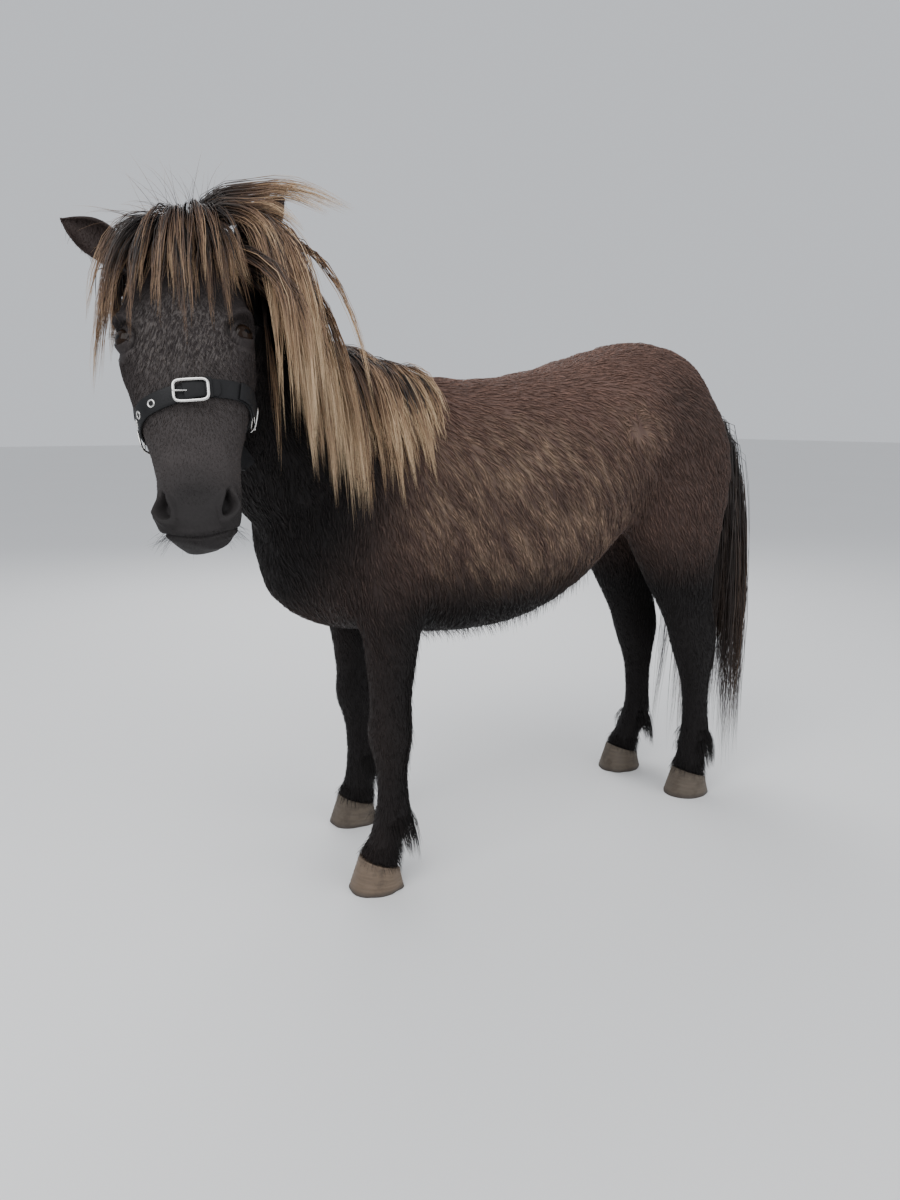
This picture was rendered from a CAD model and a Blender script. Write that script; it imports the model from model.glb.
# A small shaggy pony with its head turned to the camera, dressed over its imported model
import math
import bmesh
import bpy
import numpy as np
from mathutils import Matrix, Vector
from mathutils.bvhtree import BVHTree


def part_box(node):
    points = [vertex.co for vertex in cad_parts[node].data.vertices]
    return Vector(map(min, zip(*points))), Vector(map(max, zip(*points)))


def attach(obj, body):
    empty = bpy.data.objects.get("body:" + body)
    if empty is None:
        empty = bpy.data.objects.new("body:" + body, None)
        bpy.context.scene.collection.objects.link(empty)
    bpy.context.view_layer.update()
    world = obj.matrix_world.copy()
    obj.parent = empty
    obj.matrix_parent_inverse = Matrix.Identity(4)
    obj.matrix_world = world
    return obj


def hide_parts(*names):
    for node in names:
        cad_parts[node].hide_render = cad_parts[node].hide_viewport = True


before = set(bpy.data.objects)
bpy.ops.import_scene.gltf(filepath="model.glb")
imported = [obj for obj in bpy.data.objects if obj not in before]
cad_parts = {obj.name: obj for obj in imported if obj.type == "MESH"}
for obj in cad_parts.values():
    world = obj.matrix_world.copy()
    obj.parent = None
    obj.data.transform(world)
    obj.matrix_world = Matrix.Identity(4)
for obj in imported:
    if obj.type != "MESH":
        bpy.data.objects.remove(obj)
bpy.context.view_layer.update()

bpy.ops.object.select_all(action="DESELECT")
print("frame loaded:", len(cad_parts), "nodes")

# Everything below is measured from the point between the fore hooves, as the solids are
stance = {
    "foreLeft": (0.136, -0.037), "foreRight": (-0.136, 0.037),
    "hindLeft": (0.096, 0.748), "hindRight": (-0.096, 0.716),
    "foreLean": {1: 0.026, -1: 0.016},      # how far a cannon stands behind its sole, left and right
    "hindLean": {1: 0.0, -1: 0.030},
    "foreRoot": (0.108, 0.018), "hindRoot": (0.088, 0.735),
    "sole": (0.050, 0.043),                 # half length, half width
    "coronet": (0.036, 0.036), "coronetBack": 0.006,
    "toeHeight": 0.060, "heelHeight": 0.034,
}
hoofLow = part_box("forehoof_left")[0]
shift = Vector((hoofLow.x - stance["foreLeft"][0] + stance["sole"][1],
                hoofLow.y - stance["foreLeft"][1] + stance["sole"][0], 0))

headPose = {"poll": (0.192, -0.340, 1.062), "turn": 68, "lean": 20, "roll": -3.5}
headFrame = (Matrix.Translation(headPose["poll"])
             @ Matrix.Rotation(math.radians(headPose["turn"]), 4, "Z")
             @ Matrix.Rotation(-math.radians(headPose["lean"]), 4, "X")
             @ Matrix.Rotation(math.radians(headPose["roll"]), 4, "Y"))
headTurn = headFrame.to_3x3()
headBack = headFrame.inverted()


def carried(points, matrix):
    m = np.array(matrix, float)
    return points @ m[:3, :3].T + m[:3, 3]


def toHead(points):
    return carried(points, headBack)


def headDirection(vector):
    return headTurn @ Vector(vector)


def mirrored(place, sign):
    # a place given on the left side, or its like on the right for a sign of -1
    return (sign * place[0], *place[1:])


def unit(vectors):
    return vectors / np.maximum(np.linalg.norm(vectors, axis=-1, keepdims=True), 1e-9)


def ease(value, low, high):
    # 0 below low, 1 above high, smooth between
    t = np.clip((value - low) / (high - low), 0, 1)
    return t * t * (3 - 2 * t)


def mix(first, second, share):
    return first * (1 - share) + second * share


def columns(*values):
    return np.stack(np.broadcast_arrays(*values), axis=1)


def waves(points, size, seed, count=7):
    # soft noise of about -1 to 1: a few crossed waves, the same every run
    rng = np.random.default_rng(seed)
    total = np.zeros(len(points))
    for _ in range(count):
        direction = unit(rng.normal(size=3))
        pace = math.tau / size * rng.uniform(0.6, 1.5)
        total += np.sin(points @ direction * pace + rng.uniform(0, math.tau))
    return total / math.sqrt(count)


def vertexArray(mesh, what="co"):
    flat = np.empty(len(mesh.vertices) * 3, np.float32)
    mesh.vertices.foreach_get(what, flat)
    return flat.reshape(-1, 3).astype(float)


def setVertices(mesh, points):
    mesh.vertices.foreach_set("co", points.astype(np.float32).reshape(-1))
    mesh.update()


def onlySelect(obj):
    bpy.ops.object.select_all(action="DESELECT")
    obj.select_set(True)
    bpy.context.view_layer.objects.active = obj


def applyAll(obj):
    onlySelect(obj)
    for modifier in list(obj.modifiers):
        bpy.ops.object.modifier_apply(modifier=modifier.name)


def bevelEdges(obj, width, segments):
    bevel = obj.modifiers.new("edges", "BEVEL")
    bevel.width = width
    bevel.segments = segments
    bevel.limit_method = "ANGLE"
    applyAll(obj)


def meshObject(mesh):
    obj = bpy.data.objects.new(mesh.name, mesh)
    bpy.context.scene.collection.objects.link(obj)
    return obj


def joined(pieces, name):
    bpy.ops.object.select_all(action="DESELECT")
    for piece in pieces:
        piece.select_set(True)
    bpy.context.view_layer.objects.active = pieces[0]
    if len(pieces) > 1:
        bpy.ops.object.join()
    obj = bpy.context.object
    obj.name = name
    obj.data.name = name
    return obj


def fuse(obj, others):
    for other in others:
        union = obj.modifiers.new("union", "BOOLEAN")
        union.operation = "UNION"
        union.object = other
        union.solver = "MANIFOLD"
    applyAll(obj)
    for other in others:
        bpy.data.objects.remove(other)


def finishPiece(obj, material, nodes=(), smooth=True):
    # out of the pony's own frame and into the model's, riding on its one body
    obj.data.materials.append(material)
    obj.data.transform(Matrix.Translation(shift))
    if smooth:
        obj.data.shade_smooth()
    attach(obj, "root")
    if nodes:
        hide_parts(*nodes)


# Shader sums are written as sums
class Wire:
    def __init__(self, graph, socket):
        self.graph = graph
        self.socket = socket

    def math(self, operation, *others):
        return self.graph.make("ShaderNodeMath", {"operation": operation}, i0=self,
                               **{f"i{number + 1}": other for number, other in enumerate(others)})

    def __add__(self, other):
        return self.math("ADD", other)

    def __mul__(self, other):
        return self.math("MULTIPLY", other)

    def __sub__(self, other):
        return self.math("SUBTRACT", other)

    def __rsub__(self, other):
        return self.graph.make("ShaderNodeMath", {"operation": "SUBTRACT"}, i0=other, i1=self)

    def __pow__(self, other):
        return self.math("POWER", other)

    __radd__ = __add__
    __rmul__ = __mul__


class Graph:
    def __init__(self, name, **constants):
        self.material = bpy.data.materials.new(name)
        self.material.use_nodes = True
        self.tree = self.material.node_tree
        self.shader = self.tree.nodes["Principled BSDF"]
        for key, value in constants.items():
            self.shader.inputs[key.replace("_", " ")].default_value = value

    def make(self, kind, settings=None, output=0, **sockets):
        made = self.tree.nodes.new(kind)
        for key, value in (settings or {}).items():
            if key == "stops":
                self.setStops(made.color_ramp, value)
            else:
                setattr(made, key, value)
        for key, value in sockets.items():
            numbered = key[0] == "i" and key[1:].isdigit()
            socket = made.inputs[int(key[1:]) if numbered else key.replace("_", " ")]
            if isinstance(value, Wire):
                self.tree.links.new(value.socket, socket)
            else:
                socket.default_value = value
        return Wire(self, made.outputs[output])

    def setStops(self, ramp, stops):
        while len(ramp.elements) < len(stops):
            ramp.elements.new(1)
        for element, (place, colour) in zip(ramp.elements, stops):
            element.position = place
            element.color = (*colour, 1) if len(colour) == 3 else colour

    def place(self, size=(1, 1, 1), turn=(0, 0, 0)):
        # object coordinates in the pony's own frame, with a pattern drawn out by size along its turned axes
        where = self.make("ShaderNodeTexCoord", output=3)
        own = self.make("ShaderNodeMapping", i0=where, i1=tuple(-shift))
        if size == (1, 1, 1) and turn == (0, 0, 0):
            return own
        return self.make("ShaderNodeMapping", {"vector_type": "TEXTURE"}, i0=own, i2=turn, i3=size)

    def noise(self, scale, where=None, detail=3.0, rough=0.5):
        return self.make("ShaderNodeTexNoise", Scale=scale, Detail=detail, Roughness=rough,
                         Vector=where or self.place())

    def step(self, value, low, high, start=0.0, end=1.0):
        return self.make("ShaderNodeMapRange", {"interpolation_type": "SMOOTHSTEP"},
                         i0=value, i1=low, i2=high, i3=start, i4=end)

    def blend(self, amount, first, second, how="MIX"):
        return self.make("ShaderNodeMix", {"data_type": "RGBA", "blend_type": how}, output=2,
                         i0=amount, i6=self.colour(first), i7=self.colour(second))

    def colour(self, value):
        return value if isinstance(value, Wire) else (*value, 1)

    def split(self, vector):
        first = self.make("ShaderNodeSeparateXYZ", i0=vector)
        return [Wire(self, output) for output in first.socket.node.outputs]

    def attribute(self, name):
        return self.make("ShaderNodeAttribute", {"attribute_name": name}, output=2)

    def bump(self, height, strength, distance):
        return self.make("ShaderNodeBump", Strength=strength, Distance=distance, Height=height)

    def feed(self, **links):
        for key, value in links.items():
            self.tree.links.new(value.socket, self.shader.inputs[key.replace("_", " ")])
        return self.material


# Floor, light and camera
studio = {
    "floorSize": 60, "floorColour": (0.80, 0.80, 0.80),
    "skyColour": (0.86, 0.89, 0.94, 1), "skyStrength": 0.80,
    "lamps": (         # name, place, power, size
        ("key", (1.6, -2.2, 3.2), 110, 3.0),
        ("fill", (3.0, 1.6, 2.0), 45, 3.0),
        ("rim", (-2.6, 1.2, 2.6), 60, 2.5),
    ),
    "lampAim": (0.05, 0.2, 0.6),
    "cameraPlace": (1.497, -0.658, 0.821), "cameraLook": (-0.8698, 0.4933), "cameraPitch": 11.3,
    "lens": 27.03, "sensor": 36,
}


def buildStudio():
    bpy.ops.mesh.primitive_grid_add(x_subdivisions=48, y_subdivisions=48, size=studio["floorSize"],
                                    location=(shift.x, shift.y + 0.3, 0))
    floor = bpy.context.object
    floor.name = "studio_floor"
    bpy.ops.object.transform_apply(location=True)
    graph = Graph("pale_floor", Roughness=0.75)
    cloud = graph.noise(0.8, detail=4)
    shade = graph.blend(cloud, [c * 0.96 for c in studio["floorColour"]], studio["floorColour"])
    grain = graph.noise(220, detail=2)
    floor.data.materials.append(graph.feed(Base_Color=shade, Normal=graph.bump(grain, 0.05, 0.002)))
    world = bpy.data.worlds.new("soft_room")
    world.use_nodes = True
    bpy.context.scene.world = world
    sky = world.node_tree.nodes["Background"]
    sky.inputs["Color"].default_value = studio["skyColour"]
    sky.inputs["Strength"].default_value = studio["skyStrength"]
    for name, place, power, size in studio["lamps"]:
        bpy.ops.object.light_add(type="AREA", location=Vector(place) + shift)
        lamp = bpy.context.object
        lamp.name = name
        lamp.data.energy = power
        lamp.data.size = size
        aim = Vector(studio["lampAim"]) - Vector(place)
        lamp.rotation_euler = aim.to_track_quat("-Z", "Y").to_euler()
    bpy.ops.object.camera_add(location=Vector(studio["cameraPlace"]) + shift)
    camera = bpy.context.object
    pitch = math.radians(studio["cameraPitch"])
    look = Vector((*[c * math.cos(pitch) for c in studio["cameraLook"]], -math.sin(pitch)))
    camera.rotation_euler = look.to_track_quat("-Z", "Y").to_euler()
    camera.data.lens = studio["lens"]
    camera.data.sensor_width = studio["sensor"]
    bpy.context.scene.camera = camera
    print("studio ready")


# Flesh, from the same masses as the solids
torsoRows = (     # y, top, bottom, half width, height of the widest place, squareness above, below
    (-0.180, 0.650, 0.555, 0.045, 0.600, 2.0, 2.0),
    (-0.165, 0.715, 0.515, 0.085, 0.605, 2.0, 2.0),
    (-0.120, 0.790, 0.475, 0.124, 0.615, 2.0, 2.1),
    (-0.055, 0.855, 0.450, 0.146, 0.620, 2.0, 2.2),
    (0.020, 0.895, 0.440, 0.157, 0.625, 2.0, 2.3),
    (0.100, 0.904, 0.428, 0.168, 0.630, 2.0, 2.3),
    (0.190, 0.898, 0.422, 0.186, 0.640, 2.1, 2.3),
    (0.290, 0.902, 0.430, 0.200, 0.655, 2.2, 2.3),
    (0.380, 0.920, 0.462, 0.202, 0.675, 2.2, 2.2),
    (0.460, 0.944, 0.508, 0.192, 0.705, 2.2, 2.1),
    (0.520, 0.962, 0.560, 0.180, 0.745, 2.2, 2.0),
    (0.580, 0.976, 0.585, 0.170, 0.785, 2.2, 2.0),
    (0.640, 0.980, 0.590, 0.164, 0.795, 2.1, 2.0),
    (0.700, 0.968, 0.610, 0.156, 0.795, 2.0, 2.0),
    (0.750, 0.935, 0.640, 0.138, 0.785, 2.0, 2.0),
    (0.792, 0.885, 0.675, 0.108, 0.775, 2.0, 2.0),
    (0.820, 0.830, 0.710, 0.070, 0.765, 2.0, 2.0),
)
forelegRows = (   # z, front, back, half width, squareness
    (0.740, -0.060, 0.080, 0.030, 2.0),
    (0.680, -0.088, 0.108, 0.048, 2.0),
    (0.600, -0.088, 0.104, 0.056, 2.0),
    (0.540, -0.075, 0.082, 0.055, 2.0),
    (0.480, -0.062, 0.064, 0.050, 2.0),
    (0.420, -0.051, 0.051, 0.044, 2.0),
    (0.360, -0.043, 0.041, 0.038, 2.1),
    (0.315, -0.040, 0.038, 0.036, 2.3),
    (0.285, -0.044, 0.040, 0.039, 2.5),
    (0.255, -0.039, 0.038, 0.037, 2.4),
    (0.220, -0.029, 0.033, 0.030, 2.2),
    (0.170, -0.027, 0.034, 0.028, 2.1),
    (0.140, -0.027, 0.042, 0.031, 2.0),
    (0.115, -0.026, 0.049, 0.036, 2.0),
    (0.090, -0.026, 0.044, 0.035, 2.0),
    (0.065, -0.033, 0.041, 0.037, 2.0),
    (0.030, -0.042, 0.042, 0.038, 2.0),
    (0.000, -0.046, 0.042, 0.038, 2.0),
)
hindlegRows = (
    (0.860, -0.130, 0.035, 0.040, 2.0),
    (0.780, -0.175, 0.070, 0.070, 2.0),
    (0.700, -0.188, 0.078, 0.082, 2.0),
    (0.620, -0.186, 0.066, 0.078, 2.0),
    (0.560, -0.168, 0.052, 0.070, 2.0),
    (0.500, -0.134, 0.046, 0.058, 2.0),
    (0.450, -0.106, 0.048, 0.048, 2.0),
    (0.410, -0.085, 0.054, 0.040, 2.0),
    (0.375, -0.066, 0.060, 0.038, 2.3),
    (0.340, -0.052, 0.060, 0.039, 2.5),
    (0.300, -0.036, 0.053, 0.036, 2.3),
    (0.250, -0.021, 0.048, 0.030, 2.1),
    (0.180, -0.014, 0.048, 0.029, 2.1),
    (0.145, -0.015, 0.052, 0.033, 2.0),
    (0.118, -0.018, 0.054, 0.037, 2.0),
    (0.092, -0.022, 0.046, 0.035, 2.0),
    (0.065, -0.031, 0.040, 0.036, 2.0),
    (0.030, -0.040, 0.040, 0.037, 2.0),
    (0.000, -0.044, 0.040, 0.037, 2.0),
)
headRows = (      # z, front, back, half width, y of the widest place, squareness of the face, of the jaw
    (0.010, -0.006, 0.040, 0.028, 0.020, 2.0, 2.0),
    (-0.004, -0.020, 0.078, 0.050, 0.024, 2.0, 2.0),
    (-0.040, -0.034, 0.110, 0.068, 0.020, 2.2, 2.0),
    (-0.090, -0.043, 0.132, 0.082, 0.010, 2.5, 2.0),
    (-0.140, -0.045, 0.148, 0.090, 0.002, 2.8, 1.9),
    (-0.170, -0.041, 0.152, 0.090, 0.004, 2.8, 1.9),
    (-0.205, -0.034, 0.148, 0.084, 0.012, 2.6, 1.9),
    (-0.240, -0.026, 0.134, 0.075, 0.018, 2.5, 1.9),
    (-0.275, -0.019, 0.112, 0.066, 0.022, 2.4, 2.0),
    (-0.315, -0.013, 0.093, 0.059, 0.024, 2.4, 2.1),
    (-0.355, -0.007, 0.084, 0.056, 0.026, 2.3, 2.1),
    (-0.390, -0.009, 0.078, 0.053, 0.028, 2.2, 2.1),
    (-0.413, -0.004, 0.070, 0.041, 0.030, 2.1, 2.1),
    (-0.430, 0.010, 0.058, 0.024, 0.032, 2.0, 2.0),
)
neckLine = ((0.0, 0.060, 0.690), (-0.005, -0.110, 0.740), (0.025, -0.235, 0.850), (0.155, -0.290, 0.985))
neckRows = (      # half width, crest above the line, underside below it
    (0.128, 0.210, 0.190),
    (0.126, 0.206, 0.182),
    (0.114, 0.196, 0.160),
    (0.100, 0.178, 0.138),
    (0.088, 0.154, 0.116),
    (0.078, 0.120, 0.100),
    (0.070, 0.088, 0.090),
)
muscles = (       # place on the left side, radii, turn in degrees
    ((0.092, -0.015, 0.680), (0.062, 0.105, 0.170), -20),
    ((0.092, 0.670, 0.755), (0.080, 0.135, 0.165), 20),
    ((0.110, 0.555, 0.850), (0.055, 0.085, 0.062), 0),
    ((0.052, -0.115, 0.620), (0.062, 0.070, 0.095), 0),
)
neckMuscles = (   # name, place, radii, turn
    ("gullet", (0.0, -0.150, 0.690), (0.080, 0.060, 0.100), 35),
    ("nape", (0.140, -0.290, 1.008), (0.062, 0.080, 0.058), 0),
)
headMuscles = (   # place on the left side in the head's own frame, radii
    ((0.046, 0.088, -0.150), (0.026, 0.062, 0.072)),
    ((0.073, -0.014, -0.136), (0.022, 0.030, 0.026)),
    ((0.038, 0.006, -0.380), (0.023, 0.020, 0.032)),
)
lips = (          # place in the head's own frame, radii
    ((0, 0.012, -0.404), (0.037, 0.023, 0.024)),
    ((0, 0.038, -0.412), (0.027, 0.022, 0.017)),
    ((0, 0.060, -0.391), (0.030, 0.022, 0.022)),
)
flesh = {
    "voxel": 0.0086, "smoothing": 16, "neckStations": 33,
    "torsoMesh": (49, 40), "headMesh": (57, 36), "legMesh": (57, 24),      # stations, sides
    "finerHead": 0.135, "finerFeatures": 0.036, "finerRims": 0.026, "finerLids": 0.021, "finerLips": 0.014,
}


def smoothRows(rows, count):
    # rows of sizes read off smooth curves through the rows given
    rows = np.array(rows, float)
    at = np.linspace(0, len(rows) - 1, count)
    low = np.minimum(at.astype(int), len(rows) - 2)
    t = (at - low)[:, None]
    before, here = rows[np.maximum(low - 1, 0)], rows[low]
    there, after = rows[low + 1], rows[np.minimum(low + 2, len(rows) - 1)]
    bend = 2 * before - 5 * here + 4 * there - after
    twist = 3 * here - before - 3 * there + after
    return here + 0.5 * ((there - before) * t + bend * t**2 + twist * t**3)


def sectionRing(centre, side, up, width, rise, drop, squareUp, squareDown, count):
    points = []
    for k in range(count):
        angle = math.tau * k / count
        c, s = math.cos(angle), math.sin(angle)
        power = 2 / (squareUp if s >= 0 else squareDown)
        reach = rise if s >= 0 else drop
        across = width * math.copysign(abs(c) ** power, c)
        points.append(centre + side * across + up * reach * math.copysign(abs(s) ** power, s))
    return points


def skinOver(name, rings):
    # a closed body through rings of equally many points
    mesh = bpy.data.meshes.new(name)
    bm = bmesh.new()
    loops = [[bm.verts.new(point) for point in points] for points in rings]
    count = len(loops[0])
    for one, two in zip(loops, loops[1:]):
        for k in range(count):
            bm.faces.new((one[k], one[(k + 1) % count], two[(k + 1) % count], two[k]))
    bm.faces.new(loops[0][::-1])
    bm.faces.new(loops[-1])
    bmesh.ops.recalc_face_normals(bm, faces=bm.faces)
    bm.to_mesh(mesh)
    bm.free()
    return meshObject(mesh)


def roundMass(name, place, radii, turn=0, matrix=Matrix()):
    bpy.ops.mesh.primitive_uv_sphere_add(segments=24, ring_count=16, radius=1)
    obj = bpy.context.object
    obj.name = name
    tilt = Matrix.Rotation(math.radians(turn), 4, "X")
    obj.data.transform(matrix @ Matrix.Translation(place) @ tilt @ Matrix.Diagonal((*radii, 1)))
    return obj


def bezierPoint(points, t):
    a, b, c, d = (Vector(p) for p in points)
    s = 1 - t
    return a * s**3 + b * 3 * s * s * t + c * 3 * s * t * t + d * t**3


def neckStation(t):
    # centre, way along, side, way up and sizes at a share of the neck's length
    ahead, behind = bezierPoint(neckLine, min(t + 0.02, 1)), bezierPoint(neckLine, max(t - 0.02, 0))
    along = (ahead - behind).normalized()
    side = Vector((0, 0, 1)).cross(along).normalized()
    sizes = smoothRows(neckRows, flesh["neckStations"])[round(t * (flesh["neckStations"] - 1))]
    return bezierPoint(neckLine, t), along, side, along.cross(side).normalized(), sizes


def legMass(name, rows, root, foot, lean):
    # from its root in the body down to its foot, the cannon set back by lean
    rings = []
    top = rows[0][0]
    stations, sides = flesh["legMesh"]
    for z, front, back, width, square in smoothRows(rows, stations):
        share = (z / top) ** 1.3
        bend = min(max((z - 0.04) / 0.12, 0), 1)
        setBack = lean * bend * bend * (3 - 2 * bend) * (1 - share)
        x = foot[0] + (root[0] - foot[0]) * share
        y = foot[1] + (root[1] - foot[1]) * share + setBack
        half = (back - front) / 2
        rings.append(sectionRing(Vector((x, y + (front + back) / 2, z)), Vector((1, 0, 0)), Vector((0, 1, 0)),
                                 width, half, half, square, square, sides))
    return skinOver(name, rings)


def buildMasses():
    rings = []
    stations, sides = flesh["torsoMesh"]
    for y, top, low, width, wide, above, below in smoothRows(torsoRows, stations):
        rings.append(sectionRing(Vector((0, y, wide)), Vector((1, 0, 0)), Vector((0, 0, 1)),
                                 width, top - wide, wide - low, above, below, sides))
    pieces = [skinOver("torso", rings)]
    rings = []
    for k in range(flesh["neckStations"]):
        centre, _, side, up, (width, crest, under) = neckStation(k / (flesh["neckStations"] - 1))
        rings.append(sectionRing(centre, side, up, width, crest, under, 2.0, 2.2, 32))
    pieces.append(skinOver("neck", rings))
    rings = []
    stations, sides = flesh["headMesh"]
    for z, front, back, width, wide, face, jaw in smoothRows(headRows, stations):
        rings.append(sectionRing(Vector((0, wide, z)), Vector((1, 0, 0)), Vector((0, -1, 0)),
                                 width, wide - front, back - wide, face, jaw, sides))
    skull = skinOver("skull", rings)
    skull.data.transform(headFrame)
    pieces.append(skull)
    for place, radii in lips:
        pieces.append(roundMass("lip", place, radii, matrix=headFrame))
    for sign, fore, hind in ((1, "foreLeft", "hindLeft"), (-1, "foreRight", "hindRight")):
        for place, radii in headMuscles:
            pieces.append(roundMass("face", mirrored(place, sign), radii, matrix=headFrame))
        for place, radii, turn in muscles:
            pieces.append(roundMass("muscle", mirrored(place, sign), radii, turn))
        pieces.append(legMass("foreleg", forelegRows, mirrored(stance["foreRoot"], sign), stance[fore],
                              stance["foreLean"][sign]))
        pieces.append(legMass("hindleg", hindlegRows, mirrored(stance["hindRoot"], sign), stance[hind],
                              stance["hindLean"][sign]))
    for name, place, radii, turn in neckMuscles:
        pieces.append(roundMass(name, place, radii, turn))
    body = joined(pieces, "skin")
    voxels = body.modifiers.new("voxels", "REMESH")
    voxels.mode = "VOXEL"
    voxels.voxel_size = flesh["voxel"]
    soften = body.modifiers.new("soften", "SMOOTH")
    soften.factor = 0.5
    soften.iterations = flesh["smoothing"]
    applyAll(body)
    return body


ears = {
    "left": ((0.070, 0.032, -0.020), (0.146, 0.055, 0.094)),
    "right": ((-0.066, 0.032, -0.024), (-0.164, 0.050, 0.064)),
    "width": 0.051, "wall": 0.0032, "rings": 27, "outer": 25, "inner": 19,
    "sections": (     # share of the length, of the width, how far it wraps round, how full it is
        (-0.12, 0.66, 150, 1.0),
        (0.04, 0.66, 145, 1.0),
        (0.18, 0.80, 128, 0.75),
        (0.36, 0.97, 112, 0.15),
        (0.55, 1.00, 105, 0.0),
        (0.74, 0.76, 100, 0.0),
        (0.90, 0.38, 95, 0.1),
        (1.00, 0.06, 90, 0.5),
    ),
}


def earShare(points):
    # 1 on the ears past their roots
    local = toHead(points)
    share = np.zeros(len(points))
    for side in ("left", "right"):
        base, tip = np.array(ears[side][0]), np.array(ears[side][1])
        along = (local - base) @ unit(tip - base) / np.linalg.norm(tip - base)
        apart = np.linalg.norm(local - base - np.outer(along, tip - base), axis=1)
        share = np.maximum(share, ease(along, 0.05, 0.25) * (apart < 0.045))
    return share


def buildEar(side):
    base, tip = (Vector(p) for p in ears[side])
    length = (tip - base).length
    along = (tip - base).normalized()
    mouth = Vector((math.copysign(0.45, base.x), -0.9, 0.1))
    mouth = (mouth - along * mouth.dot(along)).normalized()
    across = along.cross(mouth)
    rings = []
    for share, width, wrap, fill in smoothRows(ears["sections"], ears["rings"]):
        half = ears["width"] * width / 2
        curl = math.copysign(0.004, base.x) * math.sin(math.pi * share)     # the tip bends a little inwards
        middle = base + along * length * share + mouth * half * 0.25 - across * curl
        reach = math.radians(wrap)
        fill = min(max(fill, 0), 1)
        outline = []
        for k in range(ears["outer"]):
            angle = -reach + 2 * reach * k / (ears["outer"] - 1)
            outline.append((math.sin(angle) * half, -math.cos(angle) * half * 0.8))
        rim = outline[0][1]
        hollow = half - min(ears["wall"], half * 0.4)
        for k in range(1, ears["inner"]):
            angle = reach - 2 * reach * k / ears["inner"]
            low = -math.cos(angle) * hollow * 0.8
            outline.append((math.sin(angle) * hollow * 0.96, low + (rim - low) * fill))
        rings.append([headFrame @ (middle + across * x + mouth * y) for x, y in outline])
    return skinOver("ear", rings)


eye = {
    "place": (0.0700, -0.010, -0.150), "radius": 0.0180, "gaze": (0.74, -0.66, 0.10), "sink": 0.007,
    "slit": (0.0162, 0.0120), "upper": 1.08, "lower": 0.86, "lid": 0.0020,
    "tilt": 14,        # the corners slant down to the front
    "folds": (         # height, place and width in rings round the slit, above it or not
        (-0.0022, 1.75, 0.16, True),
        (0.0020, 2.15, 0.28, True),
        (-0.0012, 1.90, 0.25, False),
    ),
}
nostril = {
    "place": (0.041, -0.002, -0.374), "turn": 38, "slant": 24, "tall": 0.0185, "wide": (0.0068, 0.0022),
    "hook": 0.0050, "depth": 0.0165, "rim": 0.0026,
}
mouth = {
    "front": -0.4165, "corner": -0.388, "reach": 104,
    "lines": ((-0.0030, 0, 0.0015), (0.0010, 0.006, 0.004), (0.0008, -0.006, 0.004)),  # height, place, width
}


def withinReach(places, centres, radius):
    near = np.zeros(len(places), bool)
    for centre in centres:
        near |= np.linalg.norm(places - np.array(headFrame @ Vector(centre)), axis=1) < radius
    return near


def refine(obj, centres, radius):
    # finer faces within a distance of some points of the head's own frame
    bm = bmesh.new()
    bm.from_mesh(obj.data)
    near = withinReach(np.array([face.calc_center_median() for face in bm.faces]), centres, radius)
    edges = {edge for face, wanted in zip(bm.faces, near) if wanted for edge in face.edges}
    bmesh.ops.subdivide_edges(bm, edges=sorted(edges, key=lambda e: e.index), cuts=1, use_grid_fill=True)
    near = withinReach(np.array([vert.co for vert in bm.verts]), centres, radius)
    chosen = [vert for vert, wanted in zip(bm.verts, near) if wanted]
    for _ in range(2):
        bmesh.ops.smooth_vert(bm, verts=chosen, factor=0.5, use_axis_x=True, use_axis_y=True, use_axis_z=True)
    bm.to_mesh(obj.data)
    bm.free()


def mouthHeight(angle):
    return mouth["front"] + (mouth["corner"] - mouth["front"]) * (1 - np.cos(angle)) / 1.5


def coatDepth(points):
    # how far the skin lies under the tips of the coat
    local = toHead(points)
    onHead = headShare(points)
    body = 0.0050 - 0.002 * ease(-points[:, 2], -0.45, -0.30)
    face = 0.0022 - 0.0012 * ease(-local[:, 2], 0.30, 0.36)
    nearEar = ease(local[:, 2], -0.01, 0.01) * ease(np.abs(local[:, 0]), 0.05, 0.07)
    return mix(body, face, onHead) * (1 - nearEar * onHead * 0.85)


def headShare(points):
    # 1 on the head, 0 on the rest, across the throat
    local = toHead(points)
    past = (local - np.array((0, 0.112, -0.075))) @ np.array((0, 0.91, 0.41))
    inside = (np.abs(local[:, 0]) < 0.2) & (local[:, 2] > -0.5)
    return inside * (1 - ease(past, -0.02, 0.03))


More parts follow.
